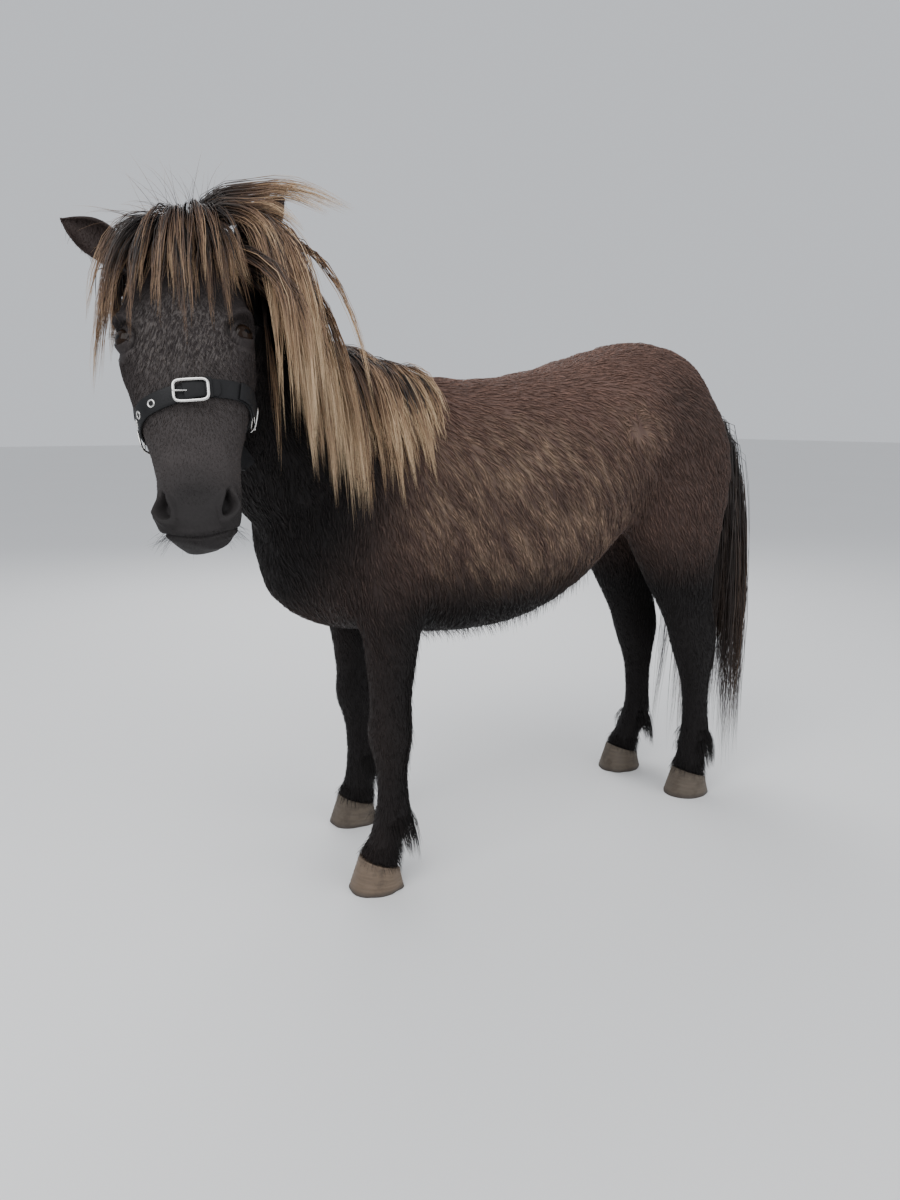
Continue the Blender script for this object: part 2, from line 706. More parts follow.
def shapeEyes(mesh):
    points = vertexArray(mesh)
    moved = points.copy()
    local = toHead(points)
    turn = np.array(headTurn)
    tilt = math.radians(eye["tilt"])
    for sign in (-1, 1):
        middle = np.array(mirrored(eye["place"], sign))
        gaze = unit(np.array(mirrored(eye["gaze"], sign)))
        side = unit(np.cross((0, 0, 1), gaze))
        up = np.cross(gaze, side)
        near = np.linalg.norm(local - middle, axis=1) < 0.05
        offset = local[near] - middle
        ahead = offset @ gaze
        u, v = offset @ side * sign, offset @ up
        u, v = u * math.cos(tilt) + v * math.sin(tilt), v * math.cos(tilt) - u * math.sin(tilt)
        half = np.where(v > 0, eye["slit"][1] * eye["upper"], eye["slit"][1] * eye["lower"])
        ring = np.sqrt((u / eye["slit"][0]) ** 2 + (v / half) ** 2)
        edge = (np.abs(ring - 1) < 0.15) & (ahead > -0.004)        # these points slide onto the lid's rim
        slide = np.where(edge, 1 / np.maximum(ring, 0.5) - 1, 0)
        ring = np.where(edge, 1, ring)
        across = np.sqrt(u * u + v * v) * (1 + slide)
        aside = side * sign * math.cos(tilt) + up * math.sin(tilt)
        upright = up * math.cos(tilt) - side * sign * math.sin(tilt)
        ball = np.sqrt(np.maximum(eye["radius"] ** 2 - across**2, 0))
        lidHeight = np.sqrt(np.maximum((eye["radius"] + eye["lid"]) ** 2 - across**2, 0))
        lidShare = 1 - ease(ring, 1.15, 2.05)
        raised = mix(ahead, lidHeight, lidShare)
        for height, at, wide, above in eye["folds"]:
            raised = raised + height * np.exp(-((ring - at) / wide) ** 2) * ((v > 0) == above)
        target = np.where(ring < 1, ball - eye["sink"], raised)
        front = (ahead > -0.004) & (ring < 3.2)
        change = np.where(front, target - ahead, 0) * (1 - ease(ring, 2.9, 3.2))
        moved[near] += np.outer(change, turn @ gaze)
        moved[near] += np.outer(u * slide, turn @ aside) + np.outer(v * slide, turn @ upright)
    setVertices(mesh, moved)


def shapeNostrils(mesh):
    points = vertexArray(mesh)
    moved = points.copy()
    for sign in (-1, 1):
        place = headFrame @ Matrix.Translation(mirrored(nostril["place"], sign))
        place = place @ Matrix.Rotation(math.radians(sign * nostril["turn"]), 4, "Z")
        place = place @ Matrix.Rotation(math.radians(sign * nostril["slant"]), 4, "Y")
        local = carried(points, place.inverted())
        x, y, z = local[:, 0] * sign, local[:, 1], local[:, 2]
        bend = -nostril["hook"] * ease(z, 0.0, 0.016)              # a comma that hooks inwards at its top
        reach = nostril["wide"][0] - nostril["wide"][1] * ease(z, 0.0, 0.014)
        ring = np.sqrt(((x - bend) / (reach * 1.22)) ** 2 + ((z - 0.001) / nostril["tall"]) ** 2)
        near = (np.linalg.norm(local, axis=1) < 0.032) & (y < 0.006)
        hole = 1 - ease(ring, 0.55, 1.12)
        rim = np.exp(-((ring - 1.45) / 0.34) ** 2) * (1 + 0.5 * (x > 0))
        change = near * (nostril["depth"] * hole - nostril["rim"] * rim)
        moved += np.outer(change, np.array(place.to_3x3()) @ np.array((0, 1, 0)))
    setVertices(mesh, moved)


def shapeMouth(mesh):
    points = vertexArray(mesh)
    local = toHead(points)
    angle = np.arctan2(local[:, 0], -(local[:, 1] - 0.034))
    gap = local[:, 2] - mouthHeight(angle)
    reach = math.radians(mouth["reach"])
    along = 1 - ease(np.abs(angle), reach * 0.88, reach)
    on = (local[:, 2] < -0.36) & (headShare(points) > 0.5)
    height = sum(high * np.exp(-((gap - at) / wide) ** 2) * along for high, at, wide in mouth["lines"])
    raiseSkin(mesh, height * on)


# Forms under the skin: place on the left side, radii, height
faceForms = (
    ((0.072, 0.040, -0.205), (0.03, 0.010, 0.055), 0.0045),        # facial crest
    ((0.055, -0.030, -0.100), (0.016, 0.02, 0.016), -0.0045),      # hollow above the eye
    ((0.082, -0.010, -0.118), (0.02, 0.02, 0.012), 0.0030),        # brow ridge
    ((0.026, -0.030, -0.300), (0.010, 0.02, 0.070), 0.0022),       # edge of the nasal bone
    ((0.052, 0.010, -0.310), (0.012, 0.02, 0.040), -0.0035),       # hollow before it
    ((0.070, 0.095, -0.190), (0.03, 0.03, 0.05), 0.0030),          # round of the jaw
    ((0.0, 0.075, -0.360), (0.018, 0.03, 0.03), -0.0035),          # groove behind the chin
)
bodyForms = (
    ((0.13, 0.085, 0.505), (0.05, 0.035, 0.035), 0.006),           # elbow
    ((0.15, 0.120, 0.56), (0.06, 0.030, 0.08), -0.005),            # hollow behind the elbow
    ((0.15, 0.560, 0.620), (0.05, 0.040, 0.045), 0.006),           # stifle
    ((0.16, 0.500, 0.740), (0.05, 0.055, 0.075), -0.007),          # flank
    ((0.12, 0.640, 0.870), (0.05, 0.040, 0.040), -0.003),          # hollow beside the croup
    ((0.10, 0.700, 0.60), (0.09, 0.030, 0.10), 0.003),             # back of the thigh
)


def raiseSkin(mesh, heights):
    setVertices(mesh, vertexArray(mesh) + vertexArray(mesh, "normal") * heights[:, None])


def addForms(change, points, forms):
    x, y, z = np.abs(points[:, 0]), points[:, 1], points[:, 2]
    for place, radii, height in forms:
        a, b, c = [(value - at) / radius for value, at, radius in zip((x, y, z), place, radii)]
        change = change + height * np.exp(-(a**2 + b**2 + c**2))
    return change


def shapeFace(mesh):
    points = vertexArray(mesh)
    change = addForms(0, toHead(points), faceForms)
    change += 0.0007 * waves(points, 0.028, 12) + 0.0010 * waves(points, 0.07, 13)
    raiseSkin(mesh, change * headShare(points))


def shapeBody(mesh):
    # the shoulder blade's edge, the forms, and the uneven lie of a thick coat
    points = vertexArray(mesh)
    x, y, z = np.abs(points[:, 0]), points[:, 1], points[:, 2]
    blade = np.exp(-((y + 0.10 + (z - 0.62) * -0.42) / 0.030) ** 2)
    blade = blade * ease(z, 0.58, 0.66) * (1 - ease(z, 0.80, 0.88))
    change = addForms(0.004 * blade * (x > 0.05), points, bodyForms)
    change += ease(z, 0.40, 0.55) * (0.0014 * waves(points, 0.10, 21) + 0.0010 * waves(points, 0.045, 22))
    raiseSkin(mesh, change * (1 - headShare(points)))


def tuckUnderHooves(mesh):
    # what a hoof covers is drawn in and flattened
    points = vertexArray(mesh)
    for foot in ("foreLeft", "foreRight", "hindLeft", "hindRight"):
        x, y = stance[foot]
        lowest = coronetHeight(points[:, 1] - y) - 0.002
        under = (np.hypot(points[:, 0] - x, points[:, 1] - y) < 0.09) & (points[:, 2] < lowest)
        centre = np.array((x, y + 0.010))
        points[under, :2] = centre + (points[under, :2] - centre) * 0.70
        points[:, 2] = np.where(under, lowest, points[:, 2])
    setVertices(mesh, points)


def buildSkin():
    body = buildMasses()
    print("flesh remeshed:", len(body.data.polygons), "faces")
    refine(body, [(0, 0.02, -0.12), (0, 0.03, -0.24), (0, 0.03, -0.36)], flesh["finerHead"])
    eyes = [mirrored(eye["place"], sign) for sign in (-1, 1)]
    nostrils = [mirrored(nostril["place"], sign) for sign in (-1, 1)]
    lipPoints = [(math.sin(a) * 0.045, 0.034 - math.cos(a) * 0.045, float(mouthHeight(a)))
                 for a in np.linspace(-1.9, 1.9, 9)]
    refine(body, eyes + nostrils + lipPoints, flesh["finerFeatures"])
    for ahead, others, radius in ((0.012, nostrils, flesh["finerRims"]), (0.014, [], flesh["finerLids"])):
        lids = [Vector(p) + Vector((math.copysign(ahead, p[0]), -ahead, 0)) for p in eyes]
        refine(body, lids + others, radius)
    refine(body, lipPoints, flesh["finerLips"])
    fuse(body, [buildEar("left"), buildEar("right")])
    mesh = body.data
    shapeFace(mesh)
    shapeBody(mesh)
    raiseSkin(mesh, -coatDepth(vertexArray(mesh)))
    for shape in (shapeNostrils, shapeMouth, shapeEyes, tuckUnderHooves):
        shape(mesh)
    onlySelect(body)
    bpy.ops.object.mode_set(mode="EDIT")
    bpy.ops.mesh.select_all(action="SELECT")
    bpy.ops.uv.smart_project(angle_limit=math.radians(66), island_margin=0.002)
    bpy.ops.object.mode_set(mode="OBJECT")
    mesh.uv_layers[0].name = "OFBake"
    mesh.materials.clear()
    mesh.polygons.foreach_set("material_index", np.zeros(len(mesh.polygons), np.int32))
    print("skin:", len(mesh.polygons), "faces")
    return body


def coronetHeight(y):
    front = stance["coronetBack"] - stance["coronet"][0]
    back = stance["coronetBack"] + stance["coronet"][0]
    return stance["toeHeight"] + (stance["heelHeight"] - stance["toeHeight"]) * (y - front) / (back - front)


# Hair is made as thin three-sided blades, many to a mesh
def bladeMesh(name, paths, outs, halves, depths, rootUvs, tones):
    count, rings, _ = paths.shape
    along = unit(np.gradient(paths, axis=1))
    across = unit(np.cross(along, outs))
    up = np.cross(across, along)
    left = paths + across * halves[..., None]
    right = paths - across * halves[..., None]
    ridge = paths + up * depths[..., None]
    body = np.stack([left, ridge, right], axis=2)[:, :-1].reshape(count, -1, 3)
    points = np.concatenate([body, paths[:, -1:]], axis=1)
    perBlade = points.shape[1]
    quads = []
    for ring in range(rings - 2):
        for k in range(3):
            a, b = ring * 3 + k, ring * 3 + (k + 1) % 3
            quads.append((b, a, a + 3, b + 3))
    last = (rings - 2) * 3
    tip = perBlade - 1
    tris = [(0, 1, 2)] + [(last + (k + 1) % 3, last + k, tip) for k in range(3)]
    pattern = [*quads, *tris]
    sizes = np.array([len(face) for face in pattern])
    loops = np.concatenate([np.array(face) for face in pattern])
    allLoops = (loops[None, :] + np.arange(count)[:, None] * perBlade).reshape(-1)
    allSizes = np.tile(sizes, count)
    starts = np.concatenate([[0], np.cumsum(allSizes)[:-1]])
    mesh = bpy.data.meshes.new(name)
    mesh.vertices.add(count * perBlade)
    mesh.vertices.foreach_set("co", points.astype(np.float32).reshape(-1))
    mesh.loops.add(len(allLoops))
    mesh.loops.foreach_set("vertex_index", allLoops.astype(np.int32))
    mesh.polygons.add(len(allSizes))
    mesh.polygons.foreach_set("loop_start", starts.astype(np.int32))
    mesh.polygons.foreach_set("use_smooth", np.ones(len(allSizes), bool))
    mesh.update(calc_edges=True)
    share = np.append(np.repeat(np.arange(rings - 1), 3), rings - 1) / (rings - 1)
    sideOf = np.append(np.tile([0.0, 0.5, 1.0], rings - 1), 0.5)
    patch = 0.003
    local = np.stack([(sideOf - 0.5) * patch, (share - 0.5) * patch], axis=1)
    uv = mesh.uv_layers.new(name="OFBake")
    corner = (rootUvs[:, None, :] + local[None, loops, :]).reshape(-1)
    uv.data.foreach_set("uv", corner.astype(np.float32))
    alongData = mesh.attributes.new("along", "FLOAT", "POINT")
    alongData.data.foreach_set("value", np.tile(share, count).astype(np.float32))
    toneData = mesh.attributes.new("tone", "FLOAT", "POINT")
    toneData.data.foreach_set("value", np.repeat(tones, perBlade).astype(np.float32))
    return meshObject(mesh)


class Hide:
    # the finished skin as a surface to root hair in
    def __init__(self, obj):
        mesh = obj.data
        mesh.calc_loop_triangles()
        triangles = np.empty(len(mesh.loop_triangles) * 3, np.int32)
        mesh.loop_triangles.foreach_get("vertices", triangles)
        loops = np.empty(len(mesh.loop_triangles) * 3, np.int32)
        mesh.loop_triangles.foreach_get("loops", loops)
        uvs = np.empty(len(mesh.loops) * 2, np.float32)
        mesh.uv_layers["OFBake"].data.foreach_get("uv", uvs)
        self.points = vertexArray(mesh)
        self.normals = vertexArray(mesh, "normal")
        self.triangles = triangles.reshape(-1, 3)
        self.uvs = uvs.reshape(-1, 2)[loops].reshape(-1, 3, 2)
        first, second, third = np.moveaxis(self.points[self.triangles], 1, 0)
        self.areas = np.linalg.norm(np.cross(second - first, third - first), axis=1) / 2
        self.centres = self.points[self.triangles].mean(1)
        corners = [Vector(p) for p in self.points]
        self.tree = BVHTree.FromPolygons(corners, self.triangles.tolist())
        earless = self.triangles[earShare(self.centres) < 0.5]
        self.calm = BVHTree.FromPolygons(corners, earless.tolist())    # long hair takes no notice of the ears

    def scatter(self, count, weight, seed):
        # roots spread by area and weight: place, way out, place on the unwrap
        rng = np.random.default_rng(seed)
        chance = np.cumsum(self.areas * weight)
        picks = np.searchsorted(chance, (np.arange(count) + rng.uniform(0, 1, count)) / count * chance[-1])
        picks = np.minimum(picks, len(self.areas) - 1)
        a, b = rng.uniform(0, 1, (2, count))
        over = a + b > 1
        a, b = np.where(over, 1 - a, a), np.where(over, 1 - b, b)
        mix = np.stack([1 - a - b, a, b], axis=1)
        place = (self.points[self.triangles[picks]] * mix[..., None]).sum(1)
        out = unit((self.normals[self.triangles[picks]] * mix[..., None]).sum(1))
        return place, out, (self.uvs[picks] * mix[..., None]).sum(1)

    def nearest(self, points, calm=False):
        count = len(points)
        places, outs, faces = np.empty((count, 3)), np.empty((count, 3)), np.empty(count, int)
        tree = self.calm if calm else self.tree
        for k, point in enumerate(points):
            place, normal, face, _ = tree.find_nearest(point)
            places[k], outs[k], faces[k] = place, normal, face
        return places, outs, faces

    def rootUvs(self, faces):
        return self.uvs[faces].mean(1)

    def clear(self, points, least, reach=0.020):
        # pushes points near the skin out until they stand off it by at least so much
        shape = points.shape
        flat = points.reshape(-1, 3)
        places, outs, _ = self.nearest(flat, calm=True)
        height = ((flat - places) * outs).sum(1)
        wanted = np.broadcast_to(least, shape[:-1]).reshape(-1)
        short = (height < wanted) & (np.linalg.norm(flat - places, axis=1) < reach)
        flat = np.where(short[:, None], places + outs * wanted[:, None], flat)
        return flat.reshape(shape)


coat = {
    "bodyTufts": 40000, "legTufts": 11500, "headTufts": 28000, "perPiece": 18000,
    "bodyLength": 0.023, "neckLength": 0.022, "legLength": 0.013, "faceLength": 0.0075, "bellyLength": 0.044,
    "earLength": 0.006, "width": 0.0023, "thickness": 0.0004, "uneven": 0.13, "lift": (0.06, 0.13),
    "swirl": (0.505, 0.80),      # y and z of the whorl on the flank
}


def pastNeckRoot(points):
    # 1 on the neck, 0 on the body
    return ease((points - np.array((0, -0.020, 0.760))) @ np.array((0, -0.868, 0.496)), -0.03, 0.06)


def hairLie(points, normals):
    # the way that the coat lies, tangent to the skin
    local = toHead(points)
    x, y, z = points[:, 0], points[:, 1], points[:, 2]
    onHead = headShare(points)[:, None]
    headWay = columns(0.35 * np.clip(local[:, 0] / 0.05, -1, 1), 0.30, -0.9) @ np.array(headTurn).T
    onNeck = (pastNeckRoot(points) * ease(z, 0.58, 0.68))[:, None]
    neckWay = np.array((-0.15, 0.45, -0.85))
    sink = 0.38 + 2.0 * (1 - ease(z, 0.50, 0.96)) + 1.6 * (1 - ease(y, 0.02, 0.16))
    high = ease(z, 0.72, 0.90)
    rumpWay = columns(0.1 * np.sign(x), 0.45 + 0.4 * high, -0.85 + 0.3 * high)
    way = mix(columns(0, 1, -sink), rumpWay, ease(y, 0.50, 0.68)[:, None])
    way = mix(way, columns(0.2 * np.sign(x), 0.15, -1), (1 - ease(y, -0.10, 0.02))[:, None])
    low = (1 - ease(z, 0.44, 0.60))[:, None] * (np.abs(x) > 0.03)[:, None]
    way = mix(way, np.array((0, 0.18, -1)), low * ((y < 0.16) | (y > 0.58))[:, None])
    way = mix(mix(way, neckWay, onNeck), headWay, onHead)
    behind, above = y - coat["swirl"][0], z - coat["swirl"][1]
    swirl = 0.8 * np.exp(-(np.hypot(behind, above) / 0.05) ** 2)[:, None] * (np.abs(x) > 0.08)[:, None]
    way = mix(way, unit(columns(0, -above, behind) * 0.3 + columns(0, behind, above)), swirl)
    wander = 0.16 * waves(points, 0.11, 31)[:, None] + 0.10 * waves(points, 0.035, 32)[:, None]
    way = way + np.cross(normals, way) * wander
    way = way - normals * (way * normals).sum(1, keepdims=True)
    return unit(way)


def coatLengths(points, normals):
    local = toHead(points)
    x, y, z = points[:, 0], points[:, 1], points[:, 2]
    onHead = headShare(points)
    length = coat["bodyLength"] + 0 * x
    length += (coat["neckLength"] - length) * pastNeckRoot(points)
    belly = ease(-normals[:, 2], 0.35, 0.85) * ease(z, 0.36, 0.42)
    belly = belly * ease(y, 0.02, 0.10) * (1 - ease(y, 0.42, 0.55))
    length += (coat["bellyLength"] - length) * belly
    leg = 1 - ease(z, 0.38, 0.52)
    back = ease(normals[:, 1], 0.2, 0.8)
    legLength = coat["legLength"] * (1 + 1.1 * back * ease(z, 0.10, 0.16))
    length += (legLength - length) * leg
    face = coat["faceLength"] * (1 - 0.68 * ease(-local[:, 2], 0.22, 0.36))
    face = face * (1 + 1.2 * ease(local[:, 1], 0.07, 0.13))                      # longer under the jaw
    length += (face - length) * onHead
    length += (coat["earLength"] - length) * earShare(points)
    return length


def bareShare(points):
    # where no tufts grow: eyes, nostrils, lips
    local = toHead(points)
    bare = np.zeros(len(points), bool)
    for sign in (-1, 1):
        bare |= np.linalg.norm(local - np.array(mirrored(eye["place"], sign)), axis=1) < 0.026
        bare |= np.linalg.norm(local - np.array(mirrored(nostril["place"], sign)), axis=1) < 0.022
    bare |= (local[:, 2] < -0.372) & (local[:, 1] < 0.07) & (headShare(points) > 0.5)
    return bare


def tuftPiece(name, hide, places, outs, uvs, lengths, seed):
    rng = np.random.default_rng(seed)
    count = len(places)
    way = hairLie(places, outs)
    side = np.cross(outs, way)
    way = unit(way + side * rng.normal(0, coat["uneven"], (count, 1)))
    lengths = lengths * rng.uniform(0.7, 1.25, count)
    lift = lengths * rng.uniform(*coat["lift"], count)
    root = places - outs * 0.0012
    middle = places + way * (lengths * 0.45)[:, None]
    tip = places + way * lengths[:, None] - np.array((0, 0, 0.08)) * lengths[:, None]
    midPlace, midOut, _ = hide.nearest(middle)
    tipPlace, tipOut, _ = hide.nearest(tip)
    middle = midPlace + midOut * (lift * 0.85)[:, None]
    tip = tipPlace + tipOut * lift[:, None]
    far = np.linalg.norm(tip - places, axis=1) > lengths * 1.4
    tip[far] = (places + way * lengths[:, None] * 0.8 + outs * lift[:, None])[far]
    paths = np.stack([root, middle, tip], axis=1)
    outAll = np.stack([outs, midOut, tipOut], axis=1)
    size = coat["width"] * np.clip(lengths / coat["bodyLength"], 0.22, 1.2) * rng.uniform(0.7, 1.3, count)
    halves = np.stack([size * 0.36, size * 0.5, size * 0], axis=1)
    depths = np.stack([size * 0.2, size * 0.24, size * 0], axis=1) + coat["thickness"] * 0.3
    return bladeMesh(name, paths, outAll, halves, depths, uvs, rng.uniform(0, 1, count))


def buildCoat(hide, material):
    centres = hide.centres
    onHead = headShare(centres) > 0.5
    low = (centres[:, 2] < 0.44) & ~onHead
    underHoof = centres[:, 2] < 0.07
    regions = (
        ("coat_head", onHead & ~bareShare(centres), coat["headTufts"], "dark_coat", 41),
        ("coat_legs", low & ~underHoof, coat["legTufts"], "dark_coat", 42),
        ("coat_body", ~onHead & ~low, coat["bodyTufts"], "brown_coat", 43),
    )
    for name, mask, count, slotName, seed in regions:
        places, outs, uvs = hide.scatter(count, mask.astype(float), seed)
        order = np.argsort(places[:, 1], kind="stable")
        places, outs, uvs = places[order], outs[order], uvs[order]
        lengths = coatLengths(places, outs)
        parts = math.ceil(count / coat["perPiece"])
        for number in range(parts):
            pick = slice(number * count // parts, (number + 1) * count // parts)
            label = name if parts == 1 else f"{name}_{number + 1}"
            piece = tuftPiece(label, hide, places[pick], outs[pick], uvs[pick], lengths[pick],
                              seed * 10 + number)
            finishPiece(piece, material, smooth=False)
        print(name, count, "tufts")


# Long hair: guides fall from their roots, and strands gather along them. Each kind has its comb: strands to
# a guide, a lock's depth, half a strand's width, how far the tips gather, wave, share of strays, least height
def comb(perGuide, depth, width, gather, wave, strays, offSkin=0.002):
    return {"perGuide": perGuide, "depth": depth, "width": width, "gather": gather, "wave": wave,
            "strays": strays, "offSkin": offSkin}


strandRings = 9
fall = {"skinReach": 0.035, "leanReach": 0.06, "ground": 0.014}    # how near the skin counts; lowest point


def fallingPath(start, heading, length, hide, clearance, pull, drift, steps=14):
    heading = Vector(heading).normalized()
    place, out, _, _ = hide.calm.find_nearest(start)
    here = Vector(start)
    path, outs = [here.copy()], [out.copy()]
    for k in range(1, steps):
        if k > 1:
            heading = (heading + Vector((0, 0, -1)) * pull + drift).normalized()
        there = here + heading * (length / (steps - 1))
        place, normal, _, _ = hide.calm.find_nearest(there)
        needed = clearance * min(1, (k + 1) / (steps * 0.3))
        if (there - place).dot(normal) < needed and (there - place).length < fall["skinReach"]:
            there = place + normal * needed
        there.z = max(there.z, fall["ground"])
        if (there - place).length < fall["leanReach"]:
            out = (out + normal * 0.5).normalized()
        heading = (there - here).normalized()
        path.append(there)
        outs.append(out.copy())
        here = there
    path, outs = np.array(path), np.array(outs)
    for _ in range(3):
        path[1:-1] = path[:-2] * 0.25 + path[1:-1] * 0.5 + path[2:] * 0.25
    return path, outs


def strandPiece(name, hide, guides, comb, seed):
    # guides: path, way out, how wide its lock is, tone
    rng = np.random.default_rng(seed)
    paths, outs, tones = [], [], []
    for path, out, size, tone in guides:
        rings = len(path)
        s = np.linspace(0, 1, rings)
        along = unit(np.gradient(path, axis=0))
        side = unit(np.cross(along, out))
        up = np.cross(side, along)
        for _ in range(comb["perGuide"]):
            stray = rng.uniform() < comb["strays"]
            a, b = rng.normal(0, 0.5, 2)
            keep = 1 - comb["gather"] * s**1.2 if not stray else 1 + 1.2 * s
            belly = np.sin(np.pi * np.clip(s * 1.1, 0, 1)) * 0.35
            reach = rng.uniform(0.72, 1.06) if not stray else rng.uniform(0.5, 1.05)
            phase, turns = rng.uniform(0, math.tau), rng.uniform(1.2, 2.6)
            sway = comb["wave"] * s * np.sin(s * turns * math.tau + phase)
            nod = comb["wave"] * s * np.cos(s * turns * 0.8 * math.tau + phase * 1.7)
            offset = side * (a * size * (keep + belly) + sway)[:, None]
            offset += up * (b * comb["depth"] * (keep + belly) + nod)[:, None]
            at = np.linspace(0, reach, min(rings, strandRings)) * (rings - 1)
            low = np.minimum(at.astype(int), rings - 2)
            t = (at - low)[:, None]
            whole = path + offset
            paths.append(mix(whole[low], whole[low + 1], t))
            outs.append(unit(out + side * rng.normal(0, 0.25))[low])
            tones.append(np.clip(tone + rng.normal(0, 0.14), 0, 1))
    paths, outs, tones = np.array(paths), np.array(outs), np.array(tones)
    rootPlace, rootOut, faces = hide.nearest(paths[:, 0])
    paths[:, 0] = rootPlace - rootOut * 0.003
    paths[:, 1:] = hide.clear(paths[:, 1:], comb["offSkin"])
    count, rings, _ = paths.shape
    s = np.linspace(0, 1, rings)
    thick = comb["width"] * rng.uniform(0.6, 1.25, (count, 1))
    halves = thick * (0.6 + 0.4 * np.sin(np.pi * np.clip(s * 1.2, 0, 1))) * (1 - s**3)
    return bladeMesh(name, paths, outs, halves, halves * 0.7 + 0.0001, hide.rootUvs(faces), tones)


mane = {
    "from": 0.08, "length": (0.165, 0.385), "pull": 0.34, "lock": 0.011,
    "comb": comb(23, 0.005, 0.0010, 0.84, 0.0025, 0.05),
    "tiers": (     # guides, how far left of the crest, lift, clearance, share of the length, tone
        (38, 0.055, 0.00, 0.006, 0.85, 0.40),
        (44, 0.026, 0.20, 0.014, 1.0, 0.66),
        (44, -0.012, 0.38, 0.019, 0.95, 0.80),
    ),
}


def maneGuides(hide):
    rng = np.random.default_rng(71)
    guides = []
    for count, aside, lift, clearance, shorter, tone in mane["tiers"]:
        for k in range(count):
            t = mane["from"] + (1 - mane["from"]) * (k + rng.uniform(0.0, 1.0)) / count
            centre, along, side, up, (_, crest, _) = neckStation(t)
            start = hide.calm.find_nearest(centre + up * crest + side * (aside + rng.uniform(-0.01, 0.01)))[0]
            towards = side * (0.8 - 0.4 * t) + Vector((0.2 + 0.4 * t, 0, 0))
            heading = up * (lift + rng.uniform(-0.1, 0.1)) + towards - along * rng.uniform(-0.10, 0.22)
            length = mane["length"][0] + (mane["length"][1] - mane["length"][0]) * min(1, t * 1.35)
            length *= shorter * rng.uniform(0.74, 1.14)
            drift = along * rng.uniform(-0.03, 0.02)
            clear = clearance * rng.uniform(0.5, 1.3)
            path, outs = fallingPath(start, heading, length, hide, clear, mane["pull"], drift)
            guides.append((path, outs, mane["lock"] * rng.uniform(0.6, 1.4), tone + rng.uniform(-0.2, 0.2)))
    return guides


pollHair = {
    "guides": 70, "cheekLocks": 32, "clearance": 0.015, "length": 0.40, "aside": 0.099, "front": -0.040,
    "cheekWay": (      # places down the cheek, and how far each moves for the lock nearest the neck
        ((0.026, 0.004, 0.026), (0, 0.02, 0)),
        ((0.072, -0.006, 0.040), (0.02, 0.02, 0)),
        ((0.108, -0.010, 0.002), (0.045, 0.035, 0)),
        ((0.121, -0.008, -0.080), (0.060, 0.045, 0)),
        ((0.122, 0.000, -0.180), (0.068, 0.05, 0)),
        ((0.118, 0.008, -0.280), (0.074, 0.05, -0.05)),
    ),
}


def pastEye(path, spread):
    # bends a lock to the left of the left eye
    local = toHead(path)
    wanted = pollHair["aside"] + 0.030 * spread + 0.35 * local[:, 0]
    share = np.linspace(0, 1, len(path))
    short = np.maximum(wanted - local[:, 0], 0) * ease(-local[:, 2], -0.050, 0.110) * ease(share, 0, 0.55)
    ahead = np.maximum(pollHair["front"] + 0.02 * spread - local[:, 1], 0) * ease(share, 0, 0.3)
    turn = np.array(headTurn)
    return path + np.outer(short, turn[:, 0]) + np.outer(ahead, turn[:, 1])


def pollGuides(hide):
    # the part that falls from the parting over the root of the left ear, down the cheek and the neck
    rng = np.random.default_rng(72)
    guides = []
    for k in range(pollHair["guides"]):
        share = (k + rng.uniform(0, 1)) / pollHair["guides"]       # 0 towards the cheek, 1 towards the crest
        layer = rng.uniform(0, 1)
        root = headFrame @ Vector((0.016 + 0.040 * rng.uniform(0, 1), 0.004 + 0.070 * share, 0.02))
        start = hide.calm.find_nearest(root)[0]
        heading = headDirection((1.0, -0.36 + 0.50 * share, 0.16 + (0.40 - 0.34 * share) * layer))
        length = pollHair["length"] * rng.uniform(0.70, 1.05)
        path, outs = fallingPath(start, heading, length, hide, 0.006 + pollHair["clearance"] * layer,
                                 mane["pull"] * 1.05, headDirection((0.03, 0.02, 0)))
        tone = 0.34 + 0.34 * layer + rng.uniform(-0.16, 0.16)
        guides.append((pastEye(path, rng.uniform()), outs, mane["lock"] * rng.uniform(0.6, 1.3), tone))
    for k in range(pollHair["cheekLocks"]):
        share = (k + rng.uniform(0, 1)) / pollHair["cheekLocks"]       # 0 along the cheek, 1 towards the neck
        rows = [np.array(place) + np.array(move) * share for place, move in pollHair["cheekWay"]]
        sway = rng.uniform(-0.006, 0.006, 3)
        path = [headFrame @ Vector(row + sway * min(1, n / 6)) for n, row in enumerate(smoothRows(rows, 18))]
        path = np.array(path)[:int(rng.uniform(13, 18.99))]
        outs = np.tile(np.array(headDirection((0.3, -0.9, 0.2))), (len(path), 1))
        guides.append((path, outs, mane["lock"] * rng.uniform(0.7, 1.2), rng.uniform(0.30, 0.75)))
    return guides


forelock = {
    "guides": 150, "length": 0.238, "pull": 0.36, "lock": 0.0085,
    "comb": comb(15, 0.004, 0.0008, 0.86, 0.0025, 0.06),
    "trims": ((0.1, 0.35, 0.86), (0.35, 0.62, 0.66)),      # shorter over the left eye: from, to, share
}


